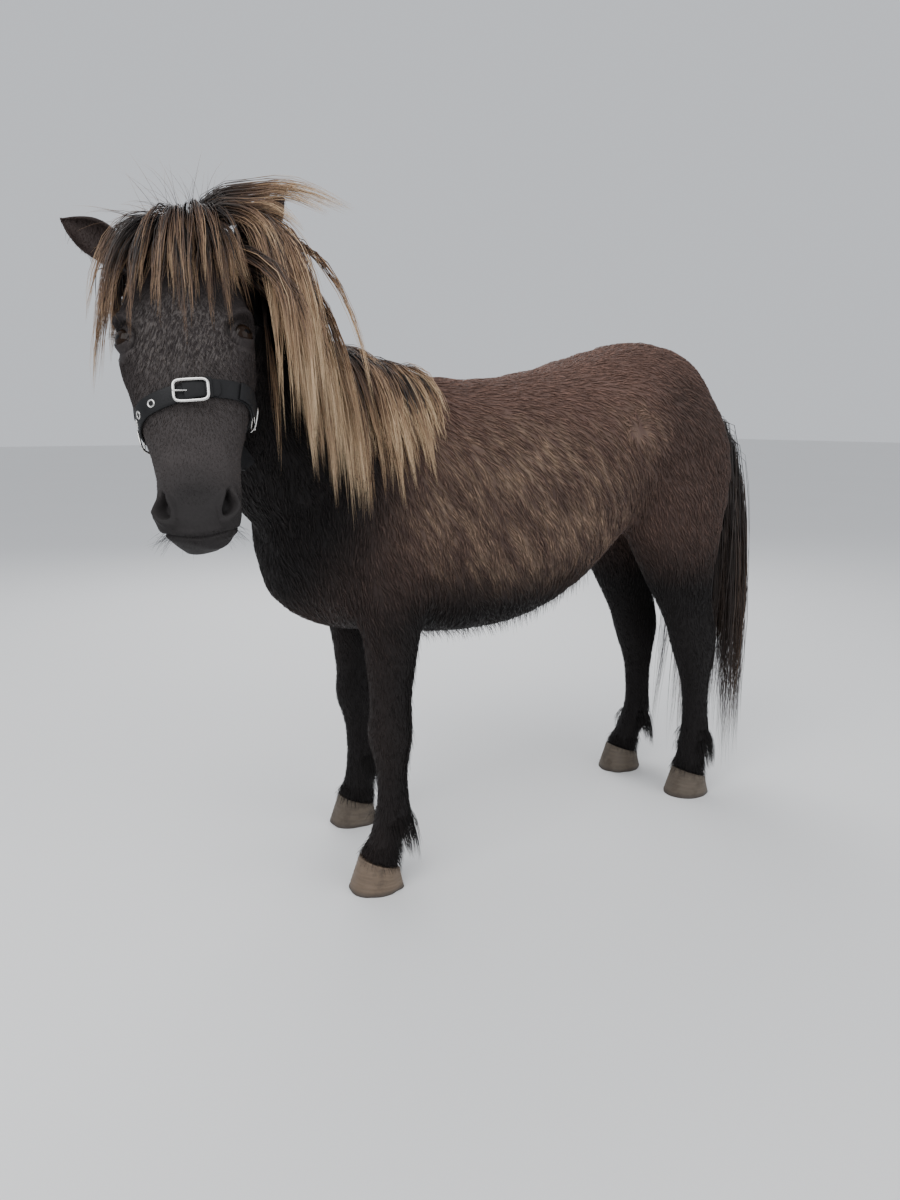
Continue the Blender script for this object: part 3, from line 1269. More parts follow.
def forelockGuides(hide):
    # fans out from the parting, over the brow and both temples
    rng = np.random.default_rng(73)
    guides = []
    for k in range(forelock["guides"]):
        turn = -1 + 2 * (k + rng.uniform(0, 1)) / forelock["guides"]
        layer = rng.uniform(0, 1)
        aside, drift = (1.60, 0.06) if turn < 0 else (0.95, 0.035)
        root = (0.012 + turn * (0.060 - 0.035 * layer), -0.004 + abs(turn) * 0.016 + layer * 0.022, 0.02)
        start = hide.calm.find_nearest(headFrame @ Vector(root))[0]
        heading = headDirection((turn * aside, -0.80 * (1 - 0.5 * abs(turn)), 0.18 + 0.62 * layer))
        length = forelock["length"] * rng.uniform(0.66, 1.06) * (1.04 - 0.10 * abs(turn))
        length *= next((trim for low, high, trim in forelock["trims"] if low < turn <= high), 1)
        path, outs = fallingPath(start, heading, length, hide, 0.004 + 0.018 * layer, forelock["pull"],
                                 headDirection((turn * drift, 0, 0)))
        path = pastEye(path, rng.uniform()) if turn > 0.58 else path
        size = forelock["lock"] * rng.uniform(0.6, 1.4)
        guides.append((path, outs, size, 0.10 + 0.35 * layer + rng.uniform(-0.22, 0.22)))
    return guides


blownLock = {
    "lock": 0.010, "tone": 0.62, "comb": comb(60, 0.008, 0.0008, 0.35, 0.0018, 0.06),
    "ways": (          # from the parting out over the left ear, the highest first
        ((0.018, 0.004, 0.030), (0.055, -0.010, 0.058), (0.100, 0.000, 0.072),
         (0.150, 0.022, 0.090), (0.195, 0.030, 0.082), (0.240, 0.036, 0.058)),
        ((0.020, 0.003, 0.027), (0.055, -0.011, 0.052), (0.098, -0.002, 0.063),
         (0.146, 0.018, 0.082), (0.186, 0.026, 0.074), (0.226, 0.032, 0.055)),
        ((0.020, 0.002, 0.026), (0.056, -0.012, 0.046), (0.096, -0.004, 0.054),
         (0.138, 0.012, 0.070), (0.172, 0.022, 0.064), (0.204, 0.028, 0.050)),
        ((0.022, 0.000, 0.022), (0.058, -0.014, 0.038), (0.092, -0.010, 0.040),
         (0.122, 0.000, 0.044), (0.150, 0.010, 0.034), (0.168, 0.016, 0.014)),
        ((0.024, -0.002, 0.020), (0.058, -0.018, 0.030), (0.088, -0.018, 0.026),
         (0.112, -0.012, 0.010), (0.126, -0.006, -0.016), (0.134, 0.000, -0.046)),
    ),
}


def blownGuides():
    # locks that the wind lays across the left ear
    guides = []
    for way in blownLock["ways"]:
        path = np.array([headFrame @ Vector(point) for point in smoothRows(way, 18)])
        outs = np.tile(np.array(headDirection((0, -0.6, 0.8))), (len(path), 1))
        guides.append((path, outs, blownLock["lock"], blownLock["tone"]))
    return guides


def looseHairs(name, hide, roots, headings, lengths, droop, width, seed, tones, steps):
    # single fine hairs that bend under their own weight
    rng = np.random.default_rng(seed)
    count = len(roots)
    place, out, faces = hide.nearest(roots)
    heading = unit(headings)
    path = [place - out * 0.001]
    bend = unit(rng.normal(size=(count, 3))) * rng.uniform(0, 0.10, (count, 1))
    for _ in range(1, steps):
        heading = unit(heading + bend + np.array((0, 0, -1)) * np.reshape(droop, (-1, 1)))
        path.append(path[-1] + heading * (lengths / (steps - 1))[:, None])
    paths = np.stack(path, axis=1)
    s = np.linspace(0, 1, steps)
    halves = np.full((count, 1), width / 2) * (1 - s**2)
    side = np.repeat(unit(np.cross(heading, rng.normal(size=(count, 3))))[:, None], steps, axis=1)
    return bladeMesh(name, paths, side, halves, halves * 1.2 + 0.00003, hide.rootUvs(faces), tones)


flyaway = {"count": 420, "length": (0.05, 0.125), "droop": (0.08, 0.28), "width": 0.0006}


def flyawayHairs(hide):
    rng = np.random.default_rng(75)
    count = flyaway["count"]
    turn = rng.uniform(-1, 1, count)
    roots = columns(0.014 + turn * 0.045, rng.uniform(-0.012, 0.035, count), 0.02)
    ways = columns(turn * 1.1 + rng.normal(0, 0.25, count), rng.normal(-0.15, 0.35, count),
                   rng.uniform(0.5, 1.3, count))
    places, _, _ = hide.nearest(carried(roots, headFrame), calm=True)
    lengths, droops = rng.uniform(*flyaway["length"], count), rng.uniform(*flyaway["droop"], count)
    return looseHairs("flyaway_hair", hide, places, ways @ np.array(headTurn).T, lengths, droops,
                      flyaway["width"], 76, rng.uniform(0.0, 0.6, count), 10)


faceHairs = {
    "lashes": 46, "lash": (0.008, 0.014), "whiskers": 90, "whisker": (0.012, 0.034), "width": 0.00036,
}


def lashesAndWhiskers(hide):
    rng = np.random.default_rng(77)
    roots, ways, lengths, droops = [], [], [], []
    for sign in (-1, 1):
        middle = Vector(mirrored(eye["place"], sign))
        gaze = Vector(mirrored(eye["gaze"], sign)).normalized()
        side = Vector((0, 0, 1)).cross(gaze).normalized() * sign
        up = gaze.cross(side * sign)
        for _ in range(faceHairs["lashes"]):
            angle = math.radians(rng.uniform(18, 162))
            reach = Vector((eye["slit"][0] * 1.10 * math.cos(angle), eye["slit"][1] * 1.18 * math.sin(angle)))
            roots.append(headFrame @ (middle + side * reach.x + up * reach.y + gaze * 0.018))
            ways.append(headDirection(gaze + side * math.cos(angle) * 0.5 + up * 0.25))
            lengths.append(rng.uniform(*faceHairs["lash"]))
            droops.append(0.10)
    for _ in range(faceHairs["whiskers"]):
        angle = rng.uniform(-1.7, 1.7)
        low = rng.uniform(-0.006, 0.022)
        roots.append(headFrame @ Vector((math.sin(angle) * 0.05, 0.034 - math.cos(angle) * 0.05,
                                         float(mouthHeight(angle)) - low)))
        ways.append(headDirection((math.sin(angle), -math.cos(angle), rng.uniform(-1.2, -0.2))))
        lengths.append(rng.uniform(*faceHairs["whisker"]))
        droops.append(0.05)
    return looseHairs("lashes_and_whiskers", hide, np.array(roots), np.array(ways), np.array(lengths),
                      np.array(droops), faceHairs["width"], 78, np.full(len(roots), 0.1), 9)


fringes = (        # name, hairs, shortest and longest, width, droop, how far they stand off, seed
    ("leg_fringe", 2000, (0.018, 0.044), 0.0007, 0.30, 0.30, 1),
    ("coronet_fringe", 2400, (0.016, 0.030), 0.0008, 0.32, 0.95, 4),
    ("belly_fringe", 1900, (0.022, 0.050), 0.0007, 0.22, 0.30, 2),
    ("ear_fringe", 900, (0.006, 0.016), 0.0004, 0.10, 0.30, 3),
)


def fringeHairs(hide):
    # longer hairs behind the legs, over the hooves, along the belly and in the ears
    rng = np.random.default_rng(79)
    centres = hide.centres
    normals = hide.normals[hide.triangles].mean(1)
    z, y = centres[:, 2], centres[:, 1]
    elbows = (z > 0.14) & (z < 0.46) & (y < 0.14) & (normals[:, 1] > 0.55)
    hocks = (z > 0.14) & (z < 0.42) & (y > 0.66) & (normals[:, 1] > 0.6)
    belly = (normals[:, 2] < -0.55) & (z > 0.38) & (z < 0.56) & (y > 0.06) & (y < 0.42)
    girth = (z > 0.42) & (z < 0.52) & (y > 0.08) & (y < 0.20)
    grown = {
        "leg_fringe": elbows | hocks, "coronet_fringe": (z < 0.084) & (np.abs(normals[:, 2]) < 0.8),
        "belly_fringe": belly | girth, "ear_fringe": earShare(centres) > 0.6,
    }
    pieces = []
    for name, count, length, width, droop, stand, seed in fringes:
        places, outs, _ = hide.scatter(count, grown[name].astype(float), 790 + seed)
        ways = hairLie(places, outs) + outs * stand
        lengths, droops = rng.uniform(*length, count), rng.uniform(0.4, 1.3, count) * droop
        pieces.append(looseHairs(name, hide, places, ways, lengths, droops, width, 800 + seed,
                                 rng.uniform(0, 0.8, count), 6))
    return pieces


tail = {
    "dock": ((0.0, 0.765, 0.895), (0.008, 0.840, 0.910), (0.026, 0.884, 0.830), (0.040, 0.884, 0.690)),
    "radius": 0.026, "end": 0.060, "ragged": 0.30, "pull": 0.4, "lock": 0.020,
    "comb": comb(44, 0.012, 0.0011, 0.6, 0.006, 0.05),
    "tiers": (         # guides, from and to along the dock, how far round it in degrees, clearance
        (18, 0.38, 1.00, 150, 0.006),
        (18, 0.30, 0.90, 110, 0.014),
        (10, 0.22, 0.75, 70, 0.020),
    ),
}


def tailGuides(hide):
    rng = np.random.default_rng(74)
    guides = []
    for count, low, high, spread, clearance in tail["tiers"]:
        for k in range(count):
            share = low + (high - low) * (k + 0.5) / count
            angle = math.radians(rng.uniform(-spread, spread))
            out = Vector((math.sin(angle), math.cos(angle), 0.15)).normalized()
            half = tail["radius"] * (1 - 0.6 * share)
            start = bezierPoint(tail["dock"], share) + out * half * 0.9
            bottom = tail["end"] + rng.uniform(0, 1) ** 1.7 * tail["ragged"]
            drift = Vector((0.015 * out.x + rng.uniform(-0.02, 0.02), rng.uniform(-0.025, 0.0), 0))
            path, _ = fallingPath(start, out * 0.25 + Vector((0, 0, -1)), start.z - bottom, hide, clearance,
                                  tail["pull"], drift)
            outs = np.tile(np.array(out), (len(path), 1))
            guides.append((path, outs, tail["lock"] * rng.uniform(0.7, 1.3), rng.uniform(0.1, 0.7)))
    return guides


feather = {
    "guides": 13, "spread": 105, "top": 0.138, "length": 0.082, "lock": 0.012,
    "comb": comb(30, 0.004, 0.0005, 0.35, 0.002, 0.10, 0.001),
}


def featherGuides(hide, foot, lean, seed):
    rng = np.random.default_rng(seed)
    guides = []
    spread = feather["spread"]
    for k in range(feather["guides"]):
        angle = math.radians(-spread + 2 * spread * (k + rng.uniform(0.2, 0.8)) / feather["guides"])
        out = Vector((math.sin(angle), math.cos(angle), 0))
        middle = Vector((foot[0], foot[1] + 0.012 + lean * 0.6, feather["top"] + rng.uniform(-0.02, 0.012)))
        place = hide.tree.ray_cast(middle + out * 0.15, -out)[0]
        length = feather["length"] * (0.62 + 0.42 * math.cos(angle)) * rng.uniform(0.85, 1.15)
        heading = out * 0.35 + Vector((0, 0, -1))
        path, outs = fallingPath(place, heading, length, hide, 0.004, 0.25, Vector(), 7)
        guides.append((path, outs, feather["lock"], rng.uniform(0.1, 0.5)))
    return guides


def buildHair(hide, manePaint, tailPaint, coatPaint):
    feathers = []
    for number, (foot, lean, sign) in enumerate((("foreLeft", "foreLean", 1), ("foreRight", "foreLean", -1),
                                                 ("hindLeft", "hindLean", 1), ("hindRight", "hindLean", -1))):
        feathers += featherGuides(hide, stance[foot], stance[lean][sign], 90 + number)
    locks = (          # name, guides, comb, seed, colour, slot, node it takes the place of
        ("mane_crest", maneGuides(hide), mane["comb"], 81, manePaint, "brown_coat", []),
        ("mane_poll", pollGuides(hide), mane["comb"], 82, manePaint, "brown_coat", []),
        ("blown_lock", blownGuides(), blownLock["comb"], 86, manePaint, "dark_coat", []),
        ("forelock", forelockGuides(hide), forelock["comb"], 83, manePaint, "dark_coat", []),
        ("tail_hair", tailGuides(hide), tail["comb"], 84, tailPaint, "dark_coat", ["tail"]),
        ("feather", feathers, feather["comb"], 85, coatPaint, "dark_coat", []),
    )
    for name, guides, combing, seed, hairPaint, slotName, nodes in locks:
        piece = strandPiece(name, hide, guides, combing, seed)
        finishPiece(piece, hairPaint, nodes, smooth=False)
    for piece in [flyawayHairs(hide), lashesAndWhiskers(hide), *fringeHairs(hide)]:
        hairPaint = manePaint if piece.name == "flyaway_hair" else coatPaint
        finishPiece(piece, hairPaint, smooth=False)
    print("long hair grown")


# Colours of the coat, the same on skin and tufts
paint = {
    "black": (0.0075, 0.0060, 0.0060), "back": (0.138, 0.082, 0.066), "barrel": (0.200, 0.138, 0.100),
    "streak": (0.340, 0.245, 0.165), "deep": (0.064, 0.040, 0.033), "rump": (0.064, 0.041, 0.034),
    "front": (0.034, 0.0235, 0.0210), "face": (0.030, 0.0245, 0.0240), "brow": (0.090, 0.079, 0.075),
    "nose": (0.050, 0.0430, 0.0420), "muzzle": (0.021, 0.0185, 0.0185),
}
faceZones = (      # place in the head's own frame, whole within, none beyond, two colours of hair
    ((0, 0.00, -0.14), 0.10, 0.17, "face", "face"),
    ((0, -0.06, -0.17), 0.045, 0.10, "face", "brow"),
    ((0, -0.02, -0.30), 0.07, 0.13, "nose", "nose"),
    ((0, 0.01, -0.415), 0.055, 0.115, "muzzle", "muzzle"),
    ((-0.150, 0.03, 0.045), 0.05, 0.08, "front", "front"),
    ((0.130, 0.04, 0.060), 0.05, 0.08, "front", "front"),
)


def coatColour(graph):
    x, y, z = graph.split(graph.place())
    wide = graph.noise(7, detail=3)
    streaks = graph.noise(62, graph.place((1, 1, 5.0), (math.radians(30), 0, 0)), detail=5, rough=0.60)
    patches = graph.noise(11, graph.place((1, 1, 1.8), (math.radians(35), 0, 0)), detail=3)
    base = graph.blend(graph.step(z + wide * 0.10, 0.72, 0.98), paint["deep"], paint["back"])
    rump = graph.step(y + wide * 0.08, 0.52, 0.70)
    rump = rump * graph.step(z, 0.55, 0.75) * graph.step(z, 0.97, 0.84, 0.25, 1.0)
    base = graph.blend(rump, base, paint["rump"])
    middle = graph.step((y - 0.27) * (y - 0.27) * 9 + (z - 0.66) * (z - 0.66) * 24 + wide * 0.5, 1.25, 0.25)
    side = graph.step(x.math("ABSOLUTE"), 0.08, 0.15)
    light = middle * side * graph.step(patches, 0.25, 0.70, 0.60, 1.0)
    base = graph.blend(light * graph.step(streaks, 0.32, 0.66) * 0.85, base, paint["barrel"])
    base = graph.blend(light * graph.step(streaks, 0.52, 0.76) * 0.42, base, paint["streak"])
    hip = graph.step((y - 0.50) * (y - 0.50) * 60 + (z - 0.80) * (z - 0.80) * 90 + wide * 0.4, 0.9, 0.25)
    base = graph.blend(hip * side * graph.step(streaks, 0.35, 0.65) * 0.45, base, paint["barrel"])
    base = graph.blend(graph.step(z + wide * 0.06, 0.645, 0.495), base, paint["black"])
    base = graph.blend(graph.step(y + wide * 0.06 - z * 0.10, 0.04, -0.14), base, paint["front"])
    base = graph.blend(graph.step(y * 0.9 - z * 0.5 + wide * 0.04, -0.29, -0.41), base, paint["black"])
    flow = graph.noise(430, graph.place((1, 1, 6.0), (math.radians(-18), math.radians(12), 0)), detail=3)
    for place, near, far, low, high in faceZones:
        reach = graph.make("ShaderNodeVectorMath", {"operation": "DISTANCE"}, output=1, i0=graph.place(),
                           i1=tuple(headFrame @ Vector(place)))
        hairs = paint[low]
        if low != high:
            hairs = graph.blend(graph.step(flow, 0.42, 0.62), paint[low], paint[high])
        base = graph.blend(graph.step(reach, far, near), base, hairs)
    return base, streaks


def skinMaterial():
    graph = Graph("short_coat", Roughness=0.70, Specular_IOR_Level=0.18)
    colour, streaks = coatColour(graph)
    fine = graph.noise(420, graph.place((1, 1, 5.0), (math.radians(25), 0, 0)), detail=3, rough=0.6)
    colour = graph.blend(0.6, colour, graph.blend(fine, (0.35, 0.35, 0.35), (1.15, 1.15, 1.15)), "MULTIPLY")
    return graph.feed(Base_Color=colour, Normal=graph.bump(fine + streaks * 0.5, 0.5, 0.0012))


def tuftMaterial():
    graph = Graph("coat_hair", Specular_IOR_Level=0.20)
    colour, _ = coatColour(graph)
    tone, along = graph.attribute("tone"), graph.attribute("along")
    shade = graph.make("ShaderNodeCombineColor", i0=tone * 0.80 + 0.60 + along * 0.34,
                       i1=tone * 0.76 + 0.60 + along * 0.30, i2=tone * 0.72 + 0.60 + along * 0.26)
    colour = graph.blend(1.0, colour, shade, "MULTIPLY")
    return graph.feed(Base_Color=colour, Roughness=graph.step(tone, 0, 1, 0.48, 0.64))


def maneMaterial():
    graph = Graph("mane_hair", Specular_IOR_Level=0.45)
    tone, along = graph.attribute("tone"), graph.attribute("along")
    uneven = graph.noise(14, detail=2)
    where = along * 0.92 + (tone - 0.5) * 0.58 + (uneven - 0.5) * 0.24 - 0.04
    colour = graph.make("ShaderNodeValToRGB", {"stops": (
        (0.05, (0.022, 0.018, 0.017)), (0.30, (0.036, 0.025, 0.020)), (0.48, (0.120, 0.068, 0.042)),
        (0.68, (0.380, 0.240, 0.140)), (0.92, (0.740, 0.550, 0.350)))}, i0=where)
    grey = graph.step(tone, 0.70, 0.85) * graph.step(along, 0.34, 0.10)
    colour = graph.blend(grey, colour, (0.16, 0.145, 0.135))
    return graph.feed(Base_Color=colour, Roughness=graph.step(tone, 0, 1, 0.38, 0.55))


def tailMaterial():
    graph = Graph("tail_hair", Specular_IOR_Level=0.42)
    tone, along = graph.attribute("tone"), graph.attribute("along")
    colour = graph.make("ShaderNodeValToRGB", {"stops": (
        (0.2, (0.010, 0.0075, 0.0065)), (0.6, (0.026, 0.016, 0.012)), (0.85, (0.070, 0.043, 0.028)),
        (1.0, (0.140, 0.092, 0.058)))}, i0=tone * 0.75 + along * 0.32)
    return graph.feed(Base_Color=colour, Roughness=graph.step(tone, 0, 1, 0.36, 0.52))


eyeLook = {
    "pupil": (0.0062, 0.0030), "iris": (0.0135, 0.0115), "black": (0.002, 0.002, 0.0025),
    "darkBrown": (0.007, 0.0042, 0.0030), "brown": (0.020, 0.0110, 0.0065), "rim": (0.016, 0.011, 0.009),
    "cornea": (0.045, 0.75),     # how far it stands out, as a share of the radius, and its reach in radians
}


def eyeMaterial(side, sign):
    graph = Graph(f"eye_{side}", Roughness=0.06, Specular_IOR_Level=0.13)
    gaze = Vector(mirrored(eye["gaze"], sign)).normalized()
    across = Vector((0, 0, 1)).cross(gaze).normalized()
    basis = Matrix((across, gaze.cross(across), gaze)).transposed().to_4x4()
    toEye = (headFrame @ Matrix.Translation(mirrored(eye["place"], sign)) @ basis).inverted()
    own = graph.make("ShaderNodeMapping", i0=graph.place(), i1=toEye.translation, i2=toEye.to_euler())
    u, v, _ = graph.split(own)
    ovals = (eyeLook["pupil"], eyeLook["iris"])
    pupil, iris = [(u * (1 / wide)) ** 2 + (v * (1 / tall)) ** 2 for wide, tall in ovals]
    rays = graph.noise(520, own, detail=3)
    brown = graph.blend(rays, eyeLook["darkBrown"], eyeLook["brown"])
    around = graph.blend(graph.step(iris, 0.85, 1.15), brown, eyeLook["rim"])
    return graph.feed(Base_Color=graph.blend(graph.step(pupil, 0.8, 1.15), eyeLook["black"], around))


def buildEyes():
    for side, sign in (("left", 1), ("right", -1)):
        place = headFrame @ Vector(mirrored(eye["place"], sign))
        gaze = headDirection(mirrored(eye["gaze"], sign)).normalized()
        bpy.ops.mesh.primitive_uv_sphere_add(segments=64, ring_count=40, radius=eye["radius"])
        ball = bpy.context.object
        ball.name = f"eyeball_{side}"
        points = vertexArray(ball.data)
        height, reach = eyeLook["cornea"]
        fromGaze = np.arccos(np.clip(points[:, 2] / eye["radius"], -1, 1))
        setVertices(ball.data, points * (1 + height * np.exp(-((fromGaze / reach) ** 4)))[:, None])
        turn = gaze.to_track_quat("Z", "Y").to_matrix().to_4x4()
        ball.data.transform(Matrix.Translation(place) @ turn)
        finishPiece(ball, eyeMaterial(side, sign), [f"eye_{side}"])
    print("eyes set")


# Hooves: flared walls with growth rings
hoofLook = {
    "sides": 72, "levels": 22, "ring": 0.00045, "flare": 0.0015, "chip": 0.0016, "cleft": (0.007, 0.006),
    "light": ((0.085, 0.058, 0.040), (0.20, 0.145, 0.100)),
    "dark": ((0.050, 0.040, 0.031), (0.125, 0.100, 0.074)),
    "fibre": (0.09, 0.065, 0.045), "mud": (0.050, 0.038, 0.028), "sole": (0.045, 0.036, 0.030),
}


def hoofMaterial(name, horn):
    graph = Graph(name, Roughness=0.55, Specular_IOR_Level=0.4)
    _, _, z = graph.split(graph.place())
    bands = graph.noise(190, graph.place((12, 12, 1)), detail=3)
    fibre = graph.noise(170, graph.place((1, 1, 16)), detail=2)
    mud = graph.noise(26, detail=5, rough=0.6)
    colour = graph.blend(bands, *hoofLook[horn])
    colour = graph.blend(fibre * 0.4, colour, hoofLook["fibre"])
    colour = graph.blend(graph.step(mud, 0.50, 0.66) * 0.6, colour, hoofLook["mud"])
    colour = graph.blend(graph.step(z, 0.012, 0.0), colour, hoofLook["sole"])
    return graph.feed(Base_Color=colour, Normal=graph.bump(bands + fibre * 0.4, 0.5, 0.0009),
                      Roughness=graph.step(mud, 0.3, 0.7, 0.48, 0.72))


def buildHoof(node, foot, horn, seed):
    bpy.ops.mesh.primitive_cylinder_add(vertices=hoofLook["sides"], radius=1, depth=1, end_fill_type="TRIFAN")
    hoof = bpy.context.object
    hoof.name = node + "_horn"
    bm = bmesh.new()
    bm.from_mesh(hoof.data)
    uprights = [e for e in bm.edges if abs(e.verts[0].co.z - e.verts[1].co.z) > 0.5]
    bmesh.ops.subdivide_edges(bm, edges=uprights, cuts=hoofLook["levels"])
    bm.to_mesh(hoof.data)
    bm.free()
    points = vertexArray(hoof.data)
    share = points[:, 2] + 0.5
    radius = np.hypot(points[:, 0], points[:, 1])
    angle = np.arctan2(points[:, 0], -points[:, 1])
    sole, coronet = stance["sole"], stance["coronet"]
    flare = (1 - share) ** 2 * hoofLook["flare"]
    length = sole[0] + (coronet[0] - sole[0]) * share
    width = sole[1] + (coronet[1] - sole[1]) * share
    growth = hoofLook["ring"] * np.sin(share * 46 + 1.3 * np.sin(angle * 2 + seed))
    growth = growth * (share > 0.03) * (share < 0.97)
    worn = np.maximum(0, waves(np.stack([angle * 9, share * 0, angle * 0], 1), 7, seed))
    chip = hoofLook["chip"] * worn * (share < 0.05)
    grow = radius * (1 + (flare + growth) / 0.045 - chip / 0.045)
    x = width * np.sin(angle) * grow
    y = -length * np.sign(np.cos(angle)) * np.abs(np.cos(angle)) ** 0.9 * grow
    y = np.minimum(y, length * 0.82) + stance["coronetBack"] * share
    wide, deep = hoofLook["cleft"]
    cleft = np.exp(-(x / wide) ** 2) * (np.cos(angle) < -0.5) * radius * deep
    z = coronetHeight(y) * share
    z = np.where((radius < 0.99) & (share > 0.5), z - 0.002, z)
    setVertices(hoof.data, np.stack([foot[0] + x, foot[1] + y - cleft, z], axis=1))
    bevelEdges(hoof, 0.0012, 2)
    finishPiece(hoof, hoofMaterial(node + "_horn", horn), [node])


def buildHooves():
    buildHoof("forehoof_left", stance["foreLeft"], "light", 11)
    buildHoof("forehoof_right", stance["foreRight"], "dark", 12)
    buildHoof("hindhoof_left", stance["hindLeft"], "dark", 13)
    buildHoof("hindhoof_right", stance["hindRight"], "dark", 14)
    print("hooves trimmed")


def leatherMaterial():
    graph = Graph("black_leather", Roughness=0.50, Specular_IOR_Level=0.16)
    grain = graph.make("ShaderNodeTexVoronoi", {"feature": "DISTANCE_TO_EDGE"}, Scale=900,
                       Vector=graph.place())
    worn = graph.noise(45, detail=4)
    colour = graph.blend(worn, (0.0055, 0.0055, 0.0062), (0.016, 0.016, 0.017))
    return graph.feed(Base_Color=colour, Roughness=graph.step(worn, 0.3, 0.7, 0.42, 0.62),
                      Normal=graph.bump(grain, 0.25, 0.0006))


def steelMaterial():
    graph = Graph("nickel", Roughness=0.22, Metallic=1.0)
    worn = graph.noise(90, detail=4)
    colour = graph.blend(worn, (0.50, 0.49, 0.47), (0.72, 0.71, 0.69))
    return graph.feed(Base_Color=colour, Roughness=graph.step(worn, 0.35, 0.7, 0.16, 0.38))


headcollar = {
    "strapWidth": 0.024, "thickness": 0.0030, "lift": 0.0016, "stations": 120,
    "level": -0.249, "rise": 0.020, "skew": 0.0115,
    "cheek": ((0.070, 0.045, -0.240), (0.084, 0.062, -0.200), (0.096, 0.072, -0.150), (0.092, 0.076, -0.095)),
    "crown": ((0.092, 0.076, -0.094), (0.078, 0.074, -0.050), (0.050, 0.068, -0.005), (0.0, 0.064, 0.010),
              (-0.050, 0.068, -0.005), (-0.078, 0.074, -0.050), (-0.092, 0.076, -0.094)),
    "buckle": (0.0220, 0.0140, 0.0021), "sideRing": (0.0125, 0.0150, 0.0020), "eyelet": (0.0044, 0.0012),
    "eyelets": (21.5, 20.5, 19.5),       # places round the nose, of 24
    "ends": (          # name, from, to, stations, share of the width, thicknesses it is raised by, taper
        ("folded_end", -0.01, 0.085, 26, 0.94, 1, 0.5),
        ("keeper", 0.046, 0.064, 7, 1.12, 1.7, 0.0),
        ("hanging_end", 0.13, 0.235, 26, 0.94, 1, 0.3),
    ),
}


def courseFrames(course, closed):
    # places, outs and ways along of a strap, evened out
    places = np.array([place for place, _ in course])
    outs = unit(np.array([out for _, out in course]))
    for rows in (places, outs):
        for _ in range(10):
            if closed:
                rows[:] = (np.roll(rows, 1, 0) + np.roll(rows, -1, 0)) * 0.25 + rows * 0.5
            else:
                rows[1:-1] = rows[:-2] * 0.25 + rows[1:-1] * 0.5 + rows[2:] * 0.25
    along = np.roll(places, -1, 0) - np.roll(places, 1, 0) if closed else np.gradient(places, axis=0)
    along = unit(along)
    outs = unit(outs - along * (outs * along).sum(1, keepdims=True))
    return places, outs, along


def layStrap(name, course, width, closed=False, raised=0.0, taper=0.0):
    places, outs, along = courseFrames(course, closed)
    count = len(places)
    segments = count if closed else count - 1
    bpy.ops.mesh.primitive_grid_add(x_subdivisions=segments, y_subdivisions=6, size=2)
    strap = bpy.context.object
    strap.name = name
    flat = vertexArray(strap.data)
    station = np.rint((flat[:, 0] + 1) / 2 * segments).astype(int)
    share = station / segments
    station = station % count
    across = np.cross(outs, along)[station]
    narrow = 1 - taper * ease(share, 0.93, 1.0)
    edge = flat[:, 1:2] * width / 2 * narrow[:, None]
    sag = (1 - flat[:, 1:2] ** 2) * 0.0005
    height = headcollar["lift"] + raised + sag
    setVertices(strap.data, places[station] + across * edge + outs[station] * height)
    bm = bmesh.new()
    bm.from_mesh(strap.data)
    bmesh.ops.remove_doubles(bm, verts=bm.verts, dist=0.00001)
    bm.to_mesh(strap.data)
    bm.free()
    wall = strap.modifiers.new("wall", "SOLIDIFY")
    wall.thickness = headcollar["thickness"]
    wall.offset = 1
    bevelEdges(strap, 0.0007, 2)
    return strap


def bentWire(name, place, out, up, halfWidth, halfHeight, wire, square):
    # a torus drawn out into a rounded frame
    bpy.ops.mesh.primitive_torus_add(major_radius=1, minor_radius=0.1, major_segments=72, minor_segments=14)
    ring = bpy.context.object
    ring.name = name
    points = vertexArray(ring.data)
    angle = np.arctan2(points[:, 1], points[:, 0])
    off = (np.hypot(points[:, 0], points[:, 1]) - 1) * 10 * wire
    c, s = np.cos(angle), np.sin(angle)
    x = halfWidth * np.sign(c) * np.abs(c) ** (2 / square)
    y = halfHeight * np.sign(s) * np.abs(s) ** (2 / square)
    awayX, awayY = np.sign(c) * np.abs(c) ** 1.2 * halfHeight, np.sign(s) * np.abs(s) ** 1.2 * halfWidth
    away = unit(np.stack([awayX, awayY], axis=1)) * off[:, None]
    setVertices(ring.data, np.stack([x + away[:, 0], y + away[:, 1], points[:, 2] * 10 * wire * 0.8], axis=1))
    out = Vector(out).normalized()
    up = (Vector(up) - out * Vector(up).dot(out)).normalized()
    turn = Matrix((up.cross(out), up, out)).transposed().to_4x4()
    ring.data.transform(Matrix.Translation(place) @ turn)
    return ring


def straightPin(start, end, radius):
    bpy.ops.mesh.primitive_cylinder_add(vertices=16, radius=radius, depth=(end - start).length)
    pin = bpy.context.object
    turn = (end - start).to_track_quat("Z", "Y").to_matrix().to_4x4()
    pin.data.transform(Matrix.Translation((start + end) / 2) @ turn)
    bevelEdges(pin, radius * 0.6, 3)
    return pin


def noseCourse(hide, start=0.0, end=1.0, count=None):
    course = []
    count = count or headcollar["stations"]
    closed = end - start >= 1
    for k in range(count):
        angle = math.tau * (start + (end - start) * k / (count if closed else count - 1))
        height = headcollar["level"] + headcollar["rise"] * math.cos(angle)
        height += headcollar["skew"] * math.sin(angle)
        out = headDirection((math.sin(angle), -math.cos(angle), 0))
        middle = headFrame @ Vector((0.002, 0.045, height))
        place, normal, _, _ = hide.calm.ray_cast(middle + out * 0.2, -out)
        course.append((place, (out + normal).normalized()))
    return course


def pointOn(course, turn):
    places, outs, _ = courseFrames(course, True)
    k = round(turn * len(course)) % len(course)
    return Vector(places[k]), Vector(outs[k])


